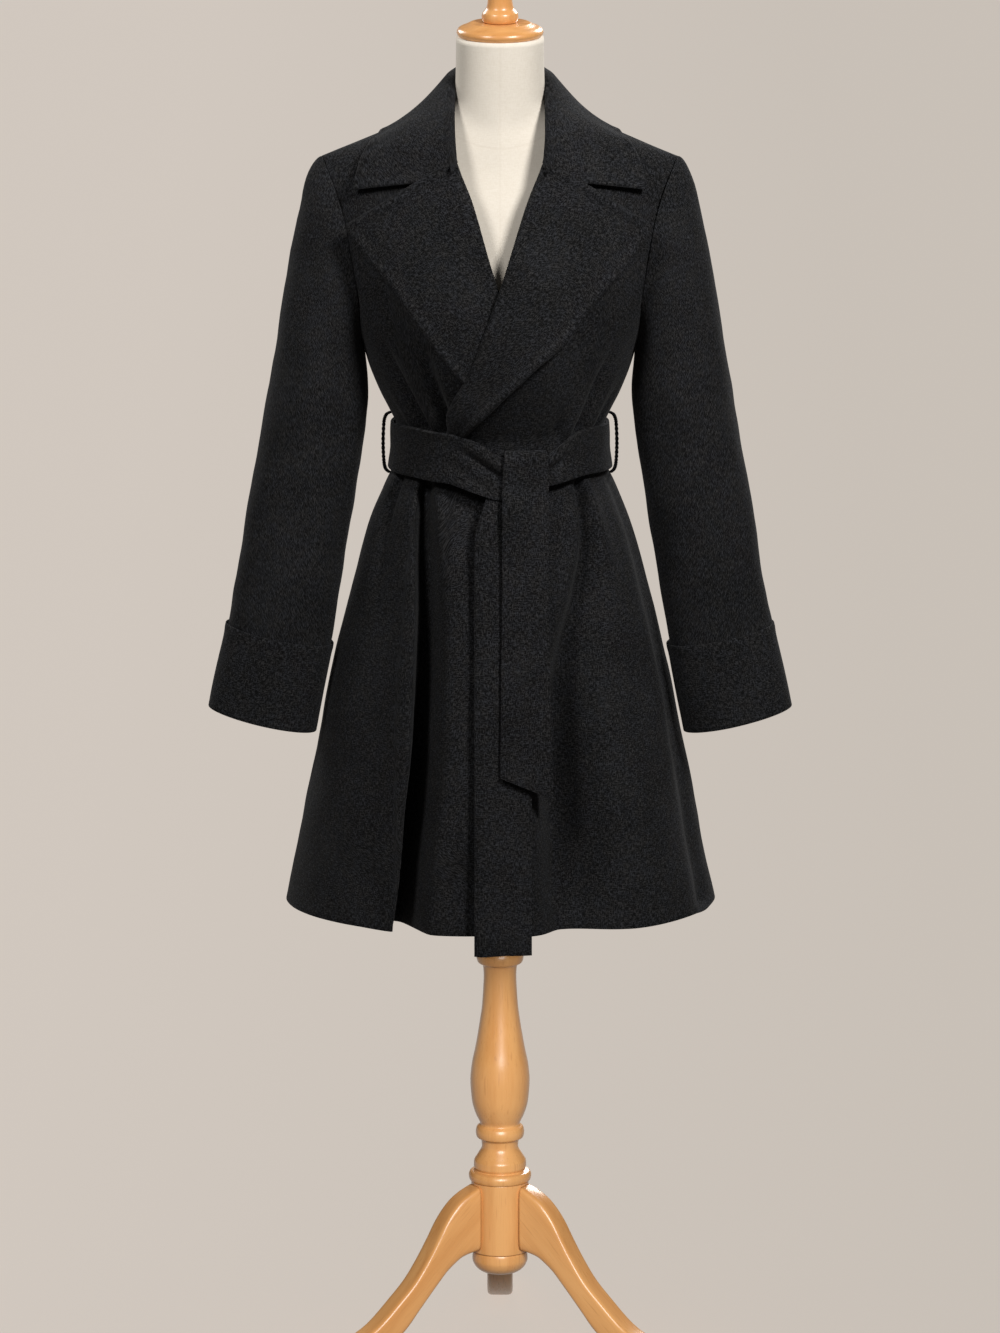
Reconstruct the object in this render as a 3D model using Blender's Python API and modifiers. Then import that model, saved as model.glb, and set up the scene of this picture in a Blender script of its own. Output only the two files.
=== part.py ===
"""Belted wrap coat of wool cloth, hung on a dress form with a turned wooden stand.

Metres, +Z up, floor at z = 0, the viewer on the -Y side. Left and right are the wearer's,
so left is +X. Every section below is measured from the stand's upright axis.
"""
import math
from collections import namedtuple

import bpy
from mathutils import Vector

# Cloth and seams
WALL = 0.0025
BELT_WALL = 0.0036
SEAM = 0.0003
LAY = 0.0019
ROLL_LAY = 0.0008
LAYER = WALL + LAY

# Heights that several pieces share
HEM_Z = 0.502
WAIST_Z = 1.000
V_CROSS_Z = 1.187
FORM_BASE_Z = 0.700
NECK_TOP_Z = 1.438
CAP_TOP_Z = 1.453

# Cloth sections from hem to shoulder seam. A row meets the side seam or armhole at side_x, side_z.
# It is part of a ring ring_x wide and front / back deep, and climbs to centre_z on the centre line.
Section = namedtuple("Section", "name side_z side_x ring_x front back centre_z")
BODY = [
    Section("hem", HEM_Z, 0.2300, 0.2300, 0.1710, 0.1680, HEM_Z),
    Section("low_skirt", 0.589, 0.2130, 0.2130, 0.1600, 0.1580, 0.589),
    Section("knee", 0.670, 0.1970, 0.1970, 0.1490, 0.1480, 0.670),
    Section("mid_skirt", 0.762, 0.1785, 0.1785, 0.1360, 0.1370, 0.762),
    Section("hip", 0.850, 0.1570, 0.1570, 0.1230, 0.1260, 0.850),
    Section("high_hip", 0.912, 0.1405, 0.1405, 0.1120, 0.1150, 0.912),
    Section("under_belt", 0.955, 0.1235, 0.1235, 0.1020, 0.1030, 0.955),
    Section("belt_low", 0.978, 0.1135, 0.1135, 0.0945, 0.0920, 0.978),
    Section("waist", WAIST_Z, 0.1105, 0.1105, 0.0920, 0.0885, WAIST_Z),
    Section("belt_top", 1.022, 0.1105, 0.1105, 0.0935, 0.0895, 1.022),
    Section("over_belt", 1.036, 0.1165, 0.1165, 0.0980, 0.0920, 1.036),
    Section("ribs", 1.057, 0.1270, 0.1270, 0.1050, 0.0970, 1.057),
    Section("under_bust", 1.081, 0.1370, 0.1370, 0.1120, 0.1020, 1.081),
    Section("underarm", 1.112, 0.1470, 0.1470, 0.1180, 0.1070, 1.112),
    Section("bust", 1.125, 0.1475, 0.1520, 0.1190, 0.1090, 1.150),
    Section("chest", 1.160, 0.1490, 0.1630, 0.1160, 0.1120, 1.205),
    Section("mid_armhole", 1.209, 0.1565, 0.1760, 0.1050, 0.1120, 1.275),
    Section("blade", 1.258, 0.1660, 0.1870, 0.0820, 0.1020, 1.340),
    Section("high_shoulder", 1.296, 0.1800, 0.2000, 0.0480, 0.0700, 1.376),
    Section("shoulder_seam", 1.311, 0.1885, 0.2050, 0.0000, 0.0000, 1.388),
]
UNDERARM = 13
SHOULDER = len(BODY) - 1
BELT_TOP_ROW = 9
SHOULDER_EDGE_ROW = SHOULDER - 0.06
YOKE_HALF_ROWS = (16.5, 17.5, 18.5)
SHOULDER_EASE = 0.0006

# Inner edges of the two fronts by height, as x on the upper front; the lower front is mirrored.
Edge = namedtuple("Edge", "z upper lower")
FRONT_EDGE = [
    Edge(HEM_Z, -0.010, -0.045),
    Edge(0.900, -0.010, -0.045),
    Edge(0.965, -0.014, -0.047),
    Edge(0.985, -0.030, -0.050),
    Edge(1.010, -0.047, -0.054),
    Edge(1.036, -0.056, -0.056),
    Edge(1.100, -0.031, -0.031),
    Edge(V_CROSS_Z, 0.000, 0.000),
    Edge(1.276, 0.030, 0.030),
    Edge(1.318, 0.047, 0.047),
    Edge(1.341, 0.053, 0.053),
    Edge(1.3645, 0.067, 0.067),
]
NECK_POINT_X = 0.067
OVERLAP_EASE = 0.005
OVERLAP_RAMP = 0.060
OVERLAP_SPARE = 0.0006
LOWER_LAPEL_END_Z = 0.972
LOWER_LAPEL_FADE = 0.030
FRONT_FLATNESS = 1.6
SETTLE_ROUNDS = 14

# Valleys pressed into the cloth: angles round the section in degrees (0 is +X, 90 the back),
# depths at the top and the foot of the fold, and the fold's width before and after its line.
Fold = namedtuple("Fold", "name top_angle low_angle top_z low_z top_depth low_depth before after")
FOLDS = [
    Fold("deep_right_front", 228, 241.5, 0.985, HEM_Z, 0.006, 0.048, 2.2, 6.5),
    Fold("soft_left_front", 315, 294, 0.985, HEM_Z, 0.005, 0.026, 8.5, 5.5),
    Fold("right_hip", 206, 213, 0.985, 0.820, 0.005, 0.000, 4.5, 4.5),
    Fold("left_side", 349, 344, 0.985, HEM_Z, 0.003, 0.009, 6.0, 7.0),
    Fold("back_left", 38, 42, 0.985, HEM_Z, 0.005, 0.024, 6.0, 8.0),
    Fold("back_middle", 84, 80, 0.985, HEM_Z, 0.004, 0.018, 8.0, 6.5),
    Fold("back_right", 141, 134, 0.985, HEM_Z, 0.005, 0.022, 8.0, 6.0),
    Fold("gather_right_side", 222, 222, 1.030, 1.092, 0.005, 0.000, 4.0, 4.5),
    Fold("gather_right_front", 240, 238, 1.030, 1.108, 0.004, 0.000, 4.0, 4.0),
    Fold("gather_left_side", 317, 316, 1.030, 1.080, 0.005, 0.000, 4.5, 4.0),
    Fold("gather_back_left", 58, 62, 1.030, 1.090, 0.004, 0.000, 5.0, 5.0),
    Fold("gather_back_right", 118, 114, 1.030, 1.100, 0.005, 0.000, 5.0, 5.0),
]
BELT_HALF_CALM = 0.018
BELT_FADE = 0.022
GUIDE_WAIST = 47.0
GUIDE_HEM = 64.0

# Grid of the panels, and the steps that find a panel's slope
ROW_STEP = 0.02
ANGLE_STEP = 0.4
FRONT_COLUMNS = 20
BACK_COLUMNS = 22
EDGE_SHARE = 0.012
GUIDE_CROWDING = 0.40

# Lapels: outer edges of the two from the belt to the tip, as x by height, mirrored as above
Lapel = namedtuple("Lapel", "z upper lower")
LAPEL_EDGE = [
    Lapel(1.022, -0.038, -0.038),
    Lapel(1.042, -0.027, -0.012),
    Lapel(1.074, -0.002, 0.021),
    Lapel(1.109, 0.031, 0.050),
    Lapel(1.145, 0.070, 0.076),
    Lapel(1.179, 0.0995, 0.101),
    Lapel(1.213, 0.1325, 0.1305),
    Lapel(1.2425, 0.1565, 0.1565),
]
GORGE_ROW = 17.0
TIP_ROW = 16.63
LAPEL_COLUMNS = 8
LAPEL_HALF_ROWS = (11.5, 12.5, 13.5)

# Collar sections from the front end round to the centre back: roll line and outer edge
Collar = namedtuple("Collar", "name roll_x roll_y roll_z edge_x edge_y edge_z sag")
COLLAR = [
    Collar("front", 0.0457, -0.0840, 1.321, 0.155, -0.062, 1.287, 0.000),
    Collar("collarbone", 0.0495, -0.0580, 1.352, 0.148, -0.044, 1.312, 0.000),
    Collar("neck_front", 0.0500, -0.0220, 1.378, 0.136, -0.022, 1.331, 0.004),
    Collar("shoulder", 0.0500, 0.0080, 1.396, 0.124, 0.004, 1.342, 0.010),
    Collar("neck_back", 0.0425, 0.0390, 1.402, 0.108, 0.062, 1.332, 0.008),
    Collar("nape", 0.0240, 0.0560, 1.406, 0.062, 0.098, 1.324, 0.006),
    Collar("centre_back", 0.0000, 0.0615, 1.407, 0.000, 0.110, 1.320, 0.005),
]
COLLAR_SHOULDER = 3
NOTCH_SHARE = 0.23
GORGE_SHARE = 0.24
GORGE_GAP_ROWS = 0.07
COLLAR_SECTIONS = 14
STAND_STEPS = 2
FALL_STEPS = 7
COLLAR_LIFT = LAY + WALL / 2 + 0.0012
ROLL_RISE = 0.0045
ROLL_INSIDE = 0.0010
ROLL_OUTSIDE = 0.0032
ROLL_DROP = 0.0025
NECKLINE_DIP = 1.0

# Sleeve rings below the armhole: centre, half width across and front to back, and tilt in degrees
Ring = namedtuple("Ring", "name x y z across deep tilt")
SLEEVE = [
    Ring("upper_arm", 0.193, -0.003, 1.054, 0.0540, 0.060, 11.5),
    Ring("elbow", 0.2035, -0.008, 0.986, 0.0555, 0.056, 10.5),
    Ring("forearm", 0.2165, -0.012, 0.910, 0.0558, 0.050, 10.5),
    Ring("over_cuff", 0.2275, -0.016, 0.842, 0.0558, 0.046, 11.0),
    Ring("cuff_top", 0.2350, -0.018, 0.798, 0.0558, 0.043, 11.5),
    Ring("cuff_middle", 0.2445, -0.020, 0.752, 0.0563, 0.041, 12.5),
    Ring("wrist", 0.2540, -0.022, 0.706, 0.0568, 0.039, 13.5),
]
CUFF_TOP_RING = 4
CUFF_STAND = 0.0003
CUFF_DROP = 0.0016
SLEEVE_COLUMNS = 16
CAP_STEPS = (0.0, 0.035, 0.12, 0.25, 0.40, 0.56, 0.72, 0.87)
SLEEVE_SEAM = 0.0006

# Direction the sleeve leaves the armhole in: at the top, front or back, and underarm
Heading = namedtuple("Heading", "out fore down reach")
HEAD_TOP = Heading(0.98, 0.00, 0.20, 0.070)
HEAD_SIDE = Heading(0.85, 0.25, 0.45, 0.060)
HEAD_UNDER = Heading(0.10, 0.00, 1.00, 0.030)
CAP_LANDING = 0.230
UNDER_LANDING = 0.060

# Belt band edges by angle, from the knot round the right side and back to the knot
Band = namedtuple("Band", "angle top low stand")
BELT = [
    Band(282, 1.001, 0.963, 0.0152),
    Band(270, 1.008, 0.962, 0.0152),
    Band(258, 1.024, 0.969, 0.0152),
    Band(243, 1.032, 0.978, 0.0148),
    Band(222, 1.032, 0.978, 0.0070),
    Band(200, 1.028, 0.976, 0.0024),
    Band(180, 1.024, 0.976, 0.0018),
    Band(90, 1.024, 0.976, 0.0012),
    Band(0, 1.024, 0.976, 0.0020),
    Band(-20, 1.029, 0.978, 0.0045),
    Band(-44, 1.031, 0.981, 0.0095),
    Band(-62, 1.0135, 0.977, 0.0145),
    Band(-67, 1.0072, 0.9755, 0.0150),
    Band(-75, 1.0065, 0.974, 0.0152),
]
BELT_STEPS = 46
BELT_ROWS = 2

# Belt ends: left and right edges and how far the cloth stands off the front, by height
Tie = namedtuple("Tie", "z left right stand")
SHORT_END = [
    Tie(1.0065, 0.004, 0.049, 0.0212),
    Tie(0.995, 0.004, 0.050, 0.0212),
    Tie(0.960, 0.003, 0.050, 0.0205),
    Tie(0.925, 0.003, 0.050, 0.0160),
    Tie(0.880, 0.003, 0.050, 0.0130),
    Tie(0.780, 0.002, 0.052, 0.0122),
    Tie(0.660, 0.001, 0.055, 0.0122),
]
SHORT_SLANT = 0.017
FOLD_BACK = 0.0070
FOLD_RISE = 0.0030
LONG_END = [
    Tie(0.985, -0.006, 0.030, 0.0105),
    Tie(0.955, -0.015, 0.033, 0.0085),
    Tie(0.920, -0.024, 0.034, 0.0070),
    Tie(0.840, -0.025, 0.034, 0.0068),
    Tie(0.660, -0.025, 0.033, 0.0068),
    Tie(HEM_Z, -0.025, 0.033, 0.0068),
    Tie(0.483, -0.025, 0.033, 0.0068),
]
TIE_COLUMNS = 4
TIE_ROWS = 14

# Thread belt loops at the side seams
LOOP_RADIUS = 0.0015
LOOP_TOP_Z = 1.034
LOOP_LOW_Z = 0.969
LOOP_OUT_X = 0.1235
LOOP_BEND = 0.010
LOOP_SWELL = 0.001

# Dress form rings: half width, depth to the front and the back, and roundness of the outline
Form = namedtuple("Form", "z half front back power")
FORM = [
    Form(FORM_BASE_Z, 0.130, 0.080, 0.090, 2.0),
    Form(0.708, 0.138, 0.087, 0.098, 2.0),
    Form(0.770, 0.148, 0.094, 0.106, 2.0),
    Form(0.830, 0.144, 0.093, 0.107, 2.0),
    Form(0.900, 0.128, 0.089, 0.097, 2.0),
    Form(0.955, 0.109, 0.083, 0.083, 2.0),
    Form(1.000, 0.100, 0.078, 0.075, 2.0),
    Form(1.040, 0.105, 0.082, 0.077, 2.0),
    Form(1.080, 0.121, 0.095, 0.087, 2.0),
    Form(1.125, 0.136, 0.106, 0.097, 2.0),
    Form(1.165, 0.141, 0.103, 0.101, 2.1),
    Form(1.210, 0.148, 0.092, 0.101, 2.1),
    Form(1.258, 0.157, 0.074, 0.090, 2.0),
    Form(1.290, 0.168, 0.060, 0.072, 1.6),
    Form(1.306, 0.172, 0.054, 0.064, 1.4),
    Form(1.320, 0.1555, 0.050, 0.060, 1.35),
    Form(1.335, 0.1190, 0.046, 0.054, 1.35),
    Form(1.348, 0.0860, 0.043, 0.051, 1.4),
    Form(1.360, 0.0585, 0.0415, 0.0515, 1.7),
    Form(1.375, 0.0480, 0.0405, 0.0535, 2.0),
    Form(1.405, 0.0468, 0.0402, 0.0532, 2.0),
    Form(NECK_TOP_Z, 0.0465, 0.0400, 0.0530, 2.0),
]
NECK_AXIS_Y = (FORM[-1].back - FORM[-1].front) / 2
FORM_COLUMNS = 24

# Turned wood, top to bottom
Turn = namedtuple("Turn", "radius z")
FINIAL = [
    Turn(0.0000, 1.5200), Turn(0.0075, 1.5185), Turn(0.0135, 1.5135), Turn(0.0160, 1.5060),
    Turn(0.0140, 1.4980), Turn(0.0118, 1.4925), Turn(0.0124, 1.4830), Turn(0.0134, 1.4730),
    Turn(0.0146, 1.4685), Turn(0.0165, 1.4660), Turn(0.0187, 1.4630), Turn(0.0195, 1.4590),
    Turn(0.0187, 1.4553), Turn(0.0168, CAP_TOP_Z + SEAM), Turn(0.0000, CAP_TOP_Z + SEAM),
]
NECK_CAP = [
    Turn(0.0000, CAP_TOP_Z), Turn(0.0300, CAP_TOP_Z), Turn(0.0338, 1.4517), Turn(0.0378, 1.4497),
    Turn(0.0424, 1.4479), Turn(0.0450, 1.4457), Turn(0.0460, 1.4428), Turn(0.0450, 1.4402),
    Turn(0.0425, NECK_TOP_Z + SEAM), Turn(0.0000, NECK_TOP_Z + SEAM),
]
COLUMN = [
    Turn(0.0000, FORM_BASE_Z - SEAM), Turn(0.0300, FORM_BASE_Z - SEAM), Turn(0.0300, 0.692),
    Turn(0.0170, 0.686), Turn(0.0170, 0.447), Turn(0.0236, 0.4440), Turn(0.0256, 0.4375),
    Turn(0.0240, 0.4305), Turn(0.0188, 0.4270), Turn(0.0175, 0.4150), Turn(0.0192, 0.3840),
    Turn(0.0221, 0.3620), Turn(0.0264, 0.3365), Turn(0.0308, 0.3140), Turn(0.0320, 0.2985),
    Turn(0.0302, 0.2755), Turn(0.0258, 0.2605), Turn(0.0214, 0.2505), Turn(0.0250, 0.2465),
    Turn(0.0262, 0.2411), Turn(0.0250, 0.2355), Turn(0.0205, 0.2325), Turn(0.0195, 0.2250),
    Turn(0.0246, 0.2150), Turn(0.0281, 0.2085), Turn(0.0282, 0.2030), Turn(0.0266, 0.1990),
    Turn(0.0318, 0.1973), Turn(0.0338, 0.1930), Turn(0.0332, 0.1892), Turn(0.0315, 0.1872),
    Turn(0.0000, 0.1872),
]
HUB_TOP_Z = 0.1869
HUB_BASE_Z = 0.1090
HUB_RADIUS = 0.0310
HUB = [
    Turn(0.0000, HUB_TOP_Z), Turn(HUB_RADIUS, HUB_TOP_Z),
    Turn(HUB_RADIUS, HUB_BASE_Z), Turn(0.0000, HUB_BASE_Z),
]
DROP = [
    Turn(0.0000, HUB_BASE_Z - SEAM), Turn(0.0275, HUB_BASE_Z - SEAM), Turn(0.0295, 0.1050),
    Turn(0.0299, 0.0990), Turn(0.0280, 0.0930), Turn(0.0225, 0.0870), Turn(0.0150, 0.0840),
    Turn(0.0000, 0.0830),
]
TURN_STEPS = 18

# Legs: top and underside of the curved outline, as distance from the axis and height
LegPoint = namedtuple("LegPoint", "reach z")
LEG_ROOT = HUB_RADIUS + SEAM
LEG_TOP = [
    LegPoint(LEG_ROOT, 0.1845), LegPoint(0.042, 0.1800), LegPoint(0.0545, 0.1725), LegPoint(0.0645, 0.163),
    LegPoint(0.074, 0.1505), LegPoint(0.0855, 0.1305), LegPoint(0.0985, 0.1095), LegPoint(0.113, 0.0895),
    LegPoint(0.1315, 0.071), LegPoint(0.167, 0.041), LegPoint(0.205, 0.0265), LegPoint(0.246, 0.018),
]
LEG_UNDER = [
    LegPoint(0.262, 0.008), LegPoint(0.256, 0.000), LegPoint(0.210, 0.000), LegPoint(0.200, 0.0012),
    LegPoint(0.185, 0.004), LegPoint(0.156, 0.015), LegPoint(0.125, 0.036), LegPoint(0.088, 0.078),
    LegPoint(0.072, 0.095), LegPoint(0.053, 0.1085), LegPoint(LEG_ROOT, 0.1135),
]
LEG_HALF_WIDTH = 0.0140
LEG_ROUND = 0.0040
LEG_AZIMUTHS = {"leg_back": 90.0, "leg_right": 210.0, "leg_left": 330.0}

# Colours
WOOL = (0.016, 0.016, 0.018, 1.0)
LINEN = (0.76, 0.71, 0.63, 1.0)
BEECH = (0.56, 0.29, 0.10, 1.0)


def make_material(name, colour, roughness):
    material = bpy.data.materials.new(name)
    material.use_nodes = True
    shader = material.node_tree.nodes["Principled BSDF"]
    shader.inputs["Base Color"].default_value = colour
    shader.inputs["Roughness"].default_value = roughness
    shader.inputs["Metallic"].default_value = 0.0
    return material


def smooth(xs, ys, x, level_end=False):
    """Monotone cubic through the rows of a table; beyond its ends the last value holds."""
    if xs[0] > xs[-1]:
        xs = xs[::-1]
        ys = ys[::-1]
    if x <= xs[0]:
        return ys[0]
    if x >= xs[-1]:
        return ys[-1]
    last = len(xs) - 1
    i = max(k for k in range(last) if xs[k] <= x)

    def grade(k):
        return (ys[k + 1] - ys[k]) / (xs[k + 1] - xs[k])

    def slope(k):
        if k == last and level_end:
            return 0.0
        if k in (0, last):
            return grade(min(k, last - 1))
        before, after = grade(k - 1), grade(k)
        if before * after <= 0.0:
            return 0.0
        return 2.0 * before * after / (before + after)

    h = xs[i + 1] - xs[i]
    t = (x - xs[i]) / h
    return (
        (1 + 2 * t) * (1 - t) ** 2 * ys[i]
        + t * (1 - t) ** 2 * h * slope(i)
        + t * t * (3 - 2 * t) * ys[i + 1]
        + t * t * (t - 1) * h * slope(i + 1)
    )


def read(table, key, value, at):
    return smooth([getattr(row, key) for row in table], [getattr(row, value) for row in table], at)


def ease(t):
    t = min(max(t, 0.0), 1.0)
    return t * t * (3 - 2 * t)


def ring_at(row):
    """The cloth section at a fractional row of BODY."""
    keys = list(range(len(BODY)))
    fields = Section._fields[1:]
    values = [smooth(keys, [getattr(s, f) for s in BODY], row, f.endswith("_z")) for f in fields]
    return Section("between", *values)


def row_height(ring, x):
    return ring.side_z + (ring.centre_z - ring.side_z) * (1 - min(abs(x) / ring.side_x, 1.0))


def fold_depth(angle, z):
    depth = 0.0
    calm = ease((abs(z - WAIST_Z) - BELT_HALF_CALM) / BELT_FADE)
    for fold in FOLDS:
        along = (z - fold.top_z) / (fold.low_z - fold.top_z)
        if not 0.0 <= along <= 1.0:
            continue
        line = fold.top_angle + (fold.low_angle - fold.top_angle) * along
        off = (angle - line + 180.0) % 360.0 - 180.0
        width = fold.before if off < 0 else fold.after
        here = fold.top_depth + (fold.low_depth - fold.top_depth) * along
        depth += here * math.exp(-(off / width) ** 2)
    return depth * calm


def body_point(row, angle):
    """Outer face of the cloth at a row of BODY and an angle round it in degrees."""
    ring = ring_at(row)
    c, s = math.cos(math.radians(angle)), math.sin(math.radians(angle))
    deep = ring.back if s > 0 else ring.front
    x = ring.ring_x * c
    point = Vector((x, deep * s, row_height(ring, x)))
    inward = Vector((c * deep, s * ring.ring_x, 0.0))
    if inward.length > 0.0:
        point -= inward.normalized() * fold_depth(angle, point.z)
    return point


def overlap_lift(x, z):
    """How far the upper front stands off to pass over the lower front and its lapel."""
    if z > BODY[UNDERARM + 3].centre_z:
        return 0.0
    layers = 1.0 + ease((z - LOWER_LAPEL_END_Z) / LOWER_LAPEL_FADE)
    under_edge = -read(FRONT_EDGE, "z", "lower", z)
    ramp = ease((under_edge + OVERLAP_EASE + OVERLAP_RAMP - x) / OVERLAP_RAMP)
    return (LAYER * layers + OVERLAP_SPARE) * ramp


def front_point(side, row, theta, lift=0.0):
    """A point on a front; theta runs from the side seam towards and past the centre."""

    def bare(r, t):
        point = body_point(r, 360.0 - t if side > 0 else 180.0 + t)
        if side > 0:
            away = Vector((point.x, point.y * FRONT_FLATNESS, 0.0)).normalized()
            point += away * overlap_lift(point.x, point.z)
        return point

    point = bare(row, theta)
    if lift == 0.0:
        return point
    up = bare(min(row + ROW_STEP, SHOULDER), theta) - bare(max(row - ROW_STEP, 0.0), theta)
    across = bare(row, theta + ANGLE_STEP) - bare(row, theta - ANGLE_STEP)
    normal = across.cross(up) if side < 0 else up.cross(across)
    return point + normal.normalized() * lift


def side_theta(row):
    ring = ring_at(row)
    return math.degrees(math.acos(min(ring.side_x / ring.ring_x, 1.0)))


def theta_at_x(row, x):
    return math.degrees(math.acos(max(min(x / ring_at(row).ring_x, 1.0), -1.0)))


def edge_theta(side, row):
    """Angle of a front's inner edge: overlap, roll line or neckline, whichever the row meets."""
    column = "upper" if side > 0 else "lower"
    ring = ring_at(row)
    x = 0.0
    for _ in range(SETTLE_ROUNDS):
        x = read(FRONT_EDGE, "z", column, row_height(ring, x))
    return theta_at_x(row, x)


def front_theta(side, row, share):
    """Angle of a column; the panel's middle column follows its main fold."""
    ring = ring_at(row)
    along = (WAIST_Z - ring.side_z) / (WAIST_Z - HEM_Z)
    guide = GUIDE_WAIST + (GUIDE_HEM - GUIDE_WAIST) * min(max(along, 0.0), 1.0)
    start, end = side_theta(row), edge_theta(side, row)
    if share < 0.5:
        return start + (guide - start) * share / 0.5
    return guide + (end - guide) * (share - 0.5) / 0.5


def crowded(share):
    return share - GUIDE_CROWDING / (2 * math.pi) * math.sin(2 * math.pi * (share - 0.5))


def body_rows():
    return sorted([float(r) for r in range(SHOULDER + 1)] + [*YOKE_HALF_ROWS, SHOULDER_EDGE_ROW])


def seam_share(row):
    """Half the gap between front and back, wider on the shoulder where the walls turn in."""
    return SEAM / 2 + SHOULDER_EASE * ease(row - SHOULDER + 1.0)


def link(obj, collection, parent):
    collection.objects.link(obj)
    obj.parent = parent


def sheet(name, rows, material, home, thickness, offset, closed=False, flip=False):
    """A wall of cloth: a grid of points through its sections, thickened by Solidify."""
    wide = len(rows[0])
    points = [p for row in rows for p in row]
    faces = []
    for i in range(len(rows) - 1):
        for j in range(wide if closed else wide - 1):
            k = (j + 1) % wide
            face = (i * wide + j, i * wide + k, (i + 1) * wide + k, (i + 1) * wide + j)
            faces.append(face[::-1] if flip else face)
    mesh = bpy.data.meshes.new(name)
    mesh.from_pydata([tuple(p) for p in points], [], faces)
    mesh.materials.append(material)
    mesh.shade_smooth()
    obj = bpy.data.objects.new(name, mesh)
    wall = obj.modifiers.new("wall", "SOLIDIFY")
    wall.thickness = thickness
    wall.offset = offset
    link(obj, *home)
    return obj


def turned(name, profile, material, home, axis_y=0.0):
    """A turned piece: its profile swept round the upright axis."""
    mesh = bpy.data.meshes.new(name)
    edges = [(i, i + 1) for i in range(len(profile) - 1)]
    mesh.from_pydata([(turn.radius, 0.0, turn.z) for turn in profile], edges, [])
    mesh.materials.append(material)
    obj = bpy.data.objects.new(name, mesh)
    obj.location.y = axis_y
    lathe = obj.modifiers.new("lathe", "SCREW")
    lathe.steps = TURN_STEPS
    lathe.render_steps = TURN_STEPS
    lathe.use_merge_vertices = True
    lathe.merge_threshold = 0.00005
    lathe.use_smooth_shade = True
    link(obj, *home)
    return obj


def make_front(name, side, material, home):
    shares = [0.0, EDGE_SHARE]
    shares += [crowded(j / FRONT_COLUMNS) for j in range(1, FRONT_COLUMNS)]
    shares += [1.0 - EDGE_SHARE, 1.0]
    rows = []
    for row in body_rows():
        points = [front_point(side, row, front_theta(side, row, share)) for share in shares]
        rows.append([p - Vector((0.0, seam_share(row), 0.0)) for p in points])
    return sheet(name, rows, material, home, WALL, -1.0, flip=side > 0)


def neckline_row(x):
    """Top row of the back at x: the shoulder seam, dipping to the back neckline."""
    return SHOULDER - NECKLINE_DIP * (1.0 - min(abs(x) / NECK_POINT_X, 1.0) ** 2)


def back_point(row, share):
    start = side_theta(row)
    return body_point(row, start + (180.0 - 2 * start) * share)


def make_back(name, material, home):
    shares = [0.0, EDGE_SHARE]
    shares += [j / BACK_COLUMNS for j in range(1, BACK_COLUMNS)]
    shares += [1.0 - EDGE_SHARE, 1.0]
    rows = []
    for row in body_rows():
        points = []
        for share in shares:
            here = row
            if row > UNDERARM:
                x = back_point(SHOULDER, share).x
                climb = (row - UNDERARM) / (SHOULDER - UNDERARM)
                here = UNDERARM + climb * (neckline_row(x) - UNDERARM)
            points.append(back_point(here, share) + Vector((0.0, seam_share(row), 0.0)))
        rows.append(points)
    return sheet(name, rows, material, home, WALL, -1.0)


def gorge_row(share):
    """Row of the lapel's top edge, from the roll line to the tip."""
    return GORGE_ROW + (TIP_ROW - GORGE_ROW) * share


def lapel_reach(side, row):
    column = "upper" if side > 0 else "lower"
    ring = ring_at(row)
    x = NECK_POINT_X
    for _ in range(SETTLE_ROUNDS):
        x = read(LAPEL_EDGE, "z", column, row_height(ring, x))
    return theta_at_x(row, x)


def make_lapel(name, side, material, home):
    rows = []
    for panel_row in sorted([*body_rows(), *LAPEL_HALF_ROWS]):
        if not BELT_TOP_ROW <= panel_row <= GORGE_ROW:
            continue
        points = []
        for j in range(LAPEL_COLUMNS + 1):
            share = j / LAPEL_COLUMNS
            row = min(panel_row, gorge_row(share))
            start, end = edge_theta(1, row), lapel_reach(side, row)
            lift = ROLL_LAY + (LAY - ROLL_LAY) * ease(5 * share)
            points.append(front_point(side, row, start + (end - start) * share, lift))
        rows.append(points)
    return sheet(name, rows, material, home, WALL, 1.0, flip=side < 0)


def yoke_profile(x):
    """Front to back line of the cloth over the shoulder at x, as y and z pairs."""
    rows = [UNDERARM + 0.5 * k for k in range(2 * (SHOULDER - UNDERARM) + 1)]
    line = []
    for face in (-1, 1):
        half = []
        for row in rows:
            ring = ring_at(row)
            if abs(x) > ring.ring_x:
                continue
            deep = ring.front if face < 0 else ring.back
            half.append((face * deep * math.sqrt(1 - (x / ring.ring_x) ** 2), row_height(ring, x)))
        line += half if face < 0 else half[-2::-1]
    return line


def yoke_clearance(point):
    """Distance of a point above the shoulder cloth, and the way out, in its front to back plane."""
    line = yoke_profile(point.x)
    best = None
    for (y0, z0), (y1, z1) in zip(line, line[1:]):
        dy, dz = y1 - y0, z1 - z0
        run = dy * dy + dz * dz
        if run == 0.0:
            continue
        t = min(max(((point.y - y0) * dy + (point.z - z0) * dz) / run, 0.0), 1.0)
        gap = math.hypot(point.y - y0 - t * dy, point.z - z0 - t * dz)
        if best is None or gap < best[0]:
            out = Vector((0.0, -dz, dy)).normalized()
            side = (point.y - y0) * out.y + (point.z - z0) * out.z
            best = (gap, math.copysign(1.0, side), out)
    return best[0] * best[1], best[2]


def seated(point, lift, always):
    gap, out = yoke_clearance(point)
    if always or gap < lift:
        return point + out * (lift - gap)
    return point


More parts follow.
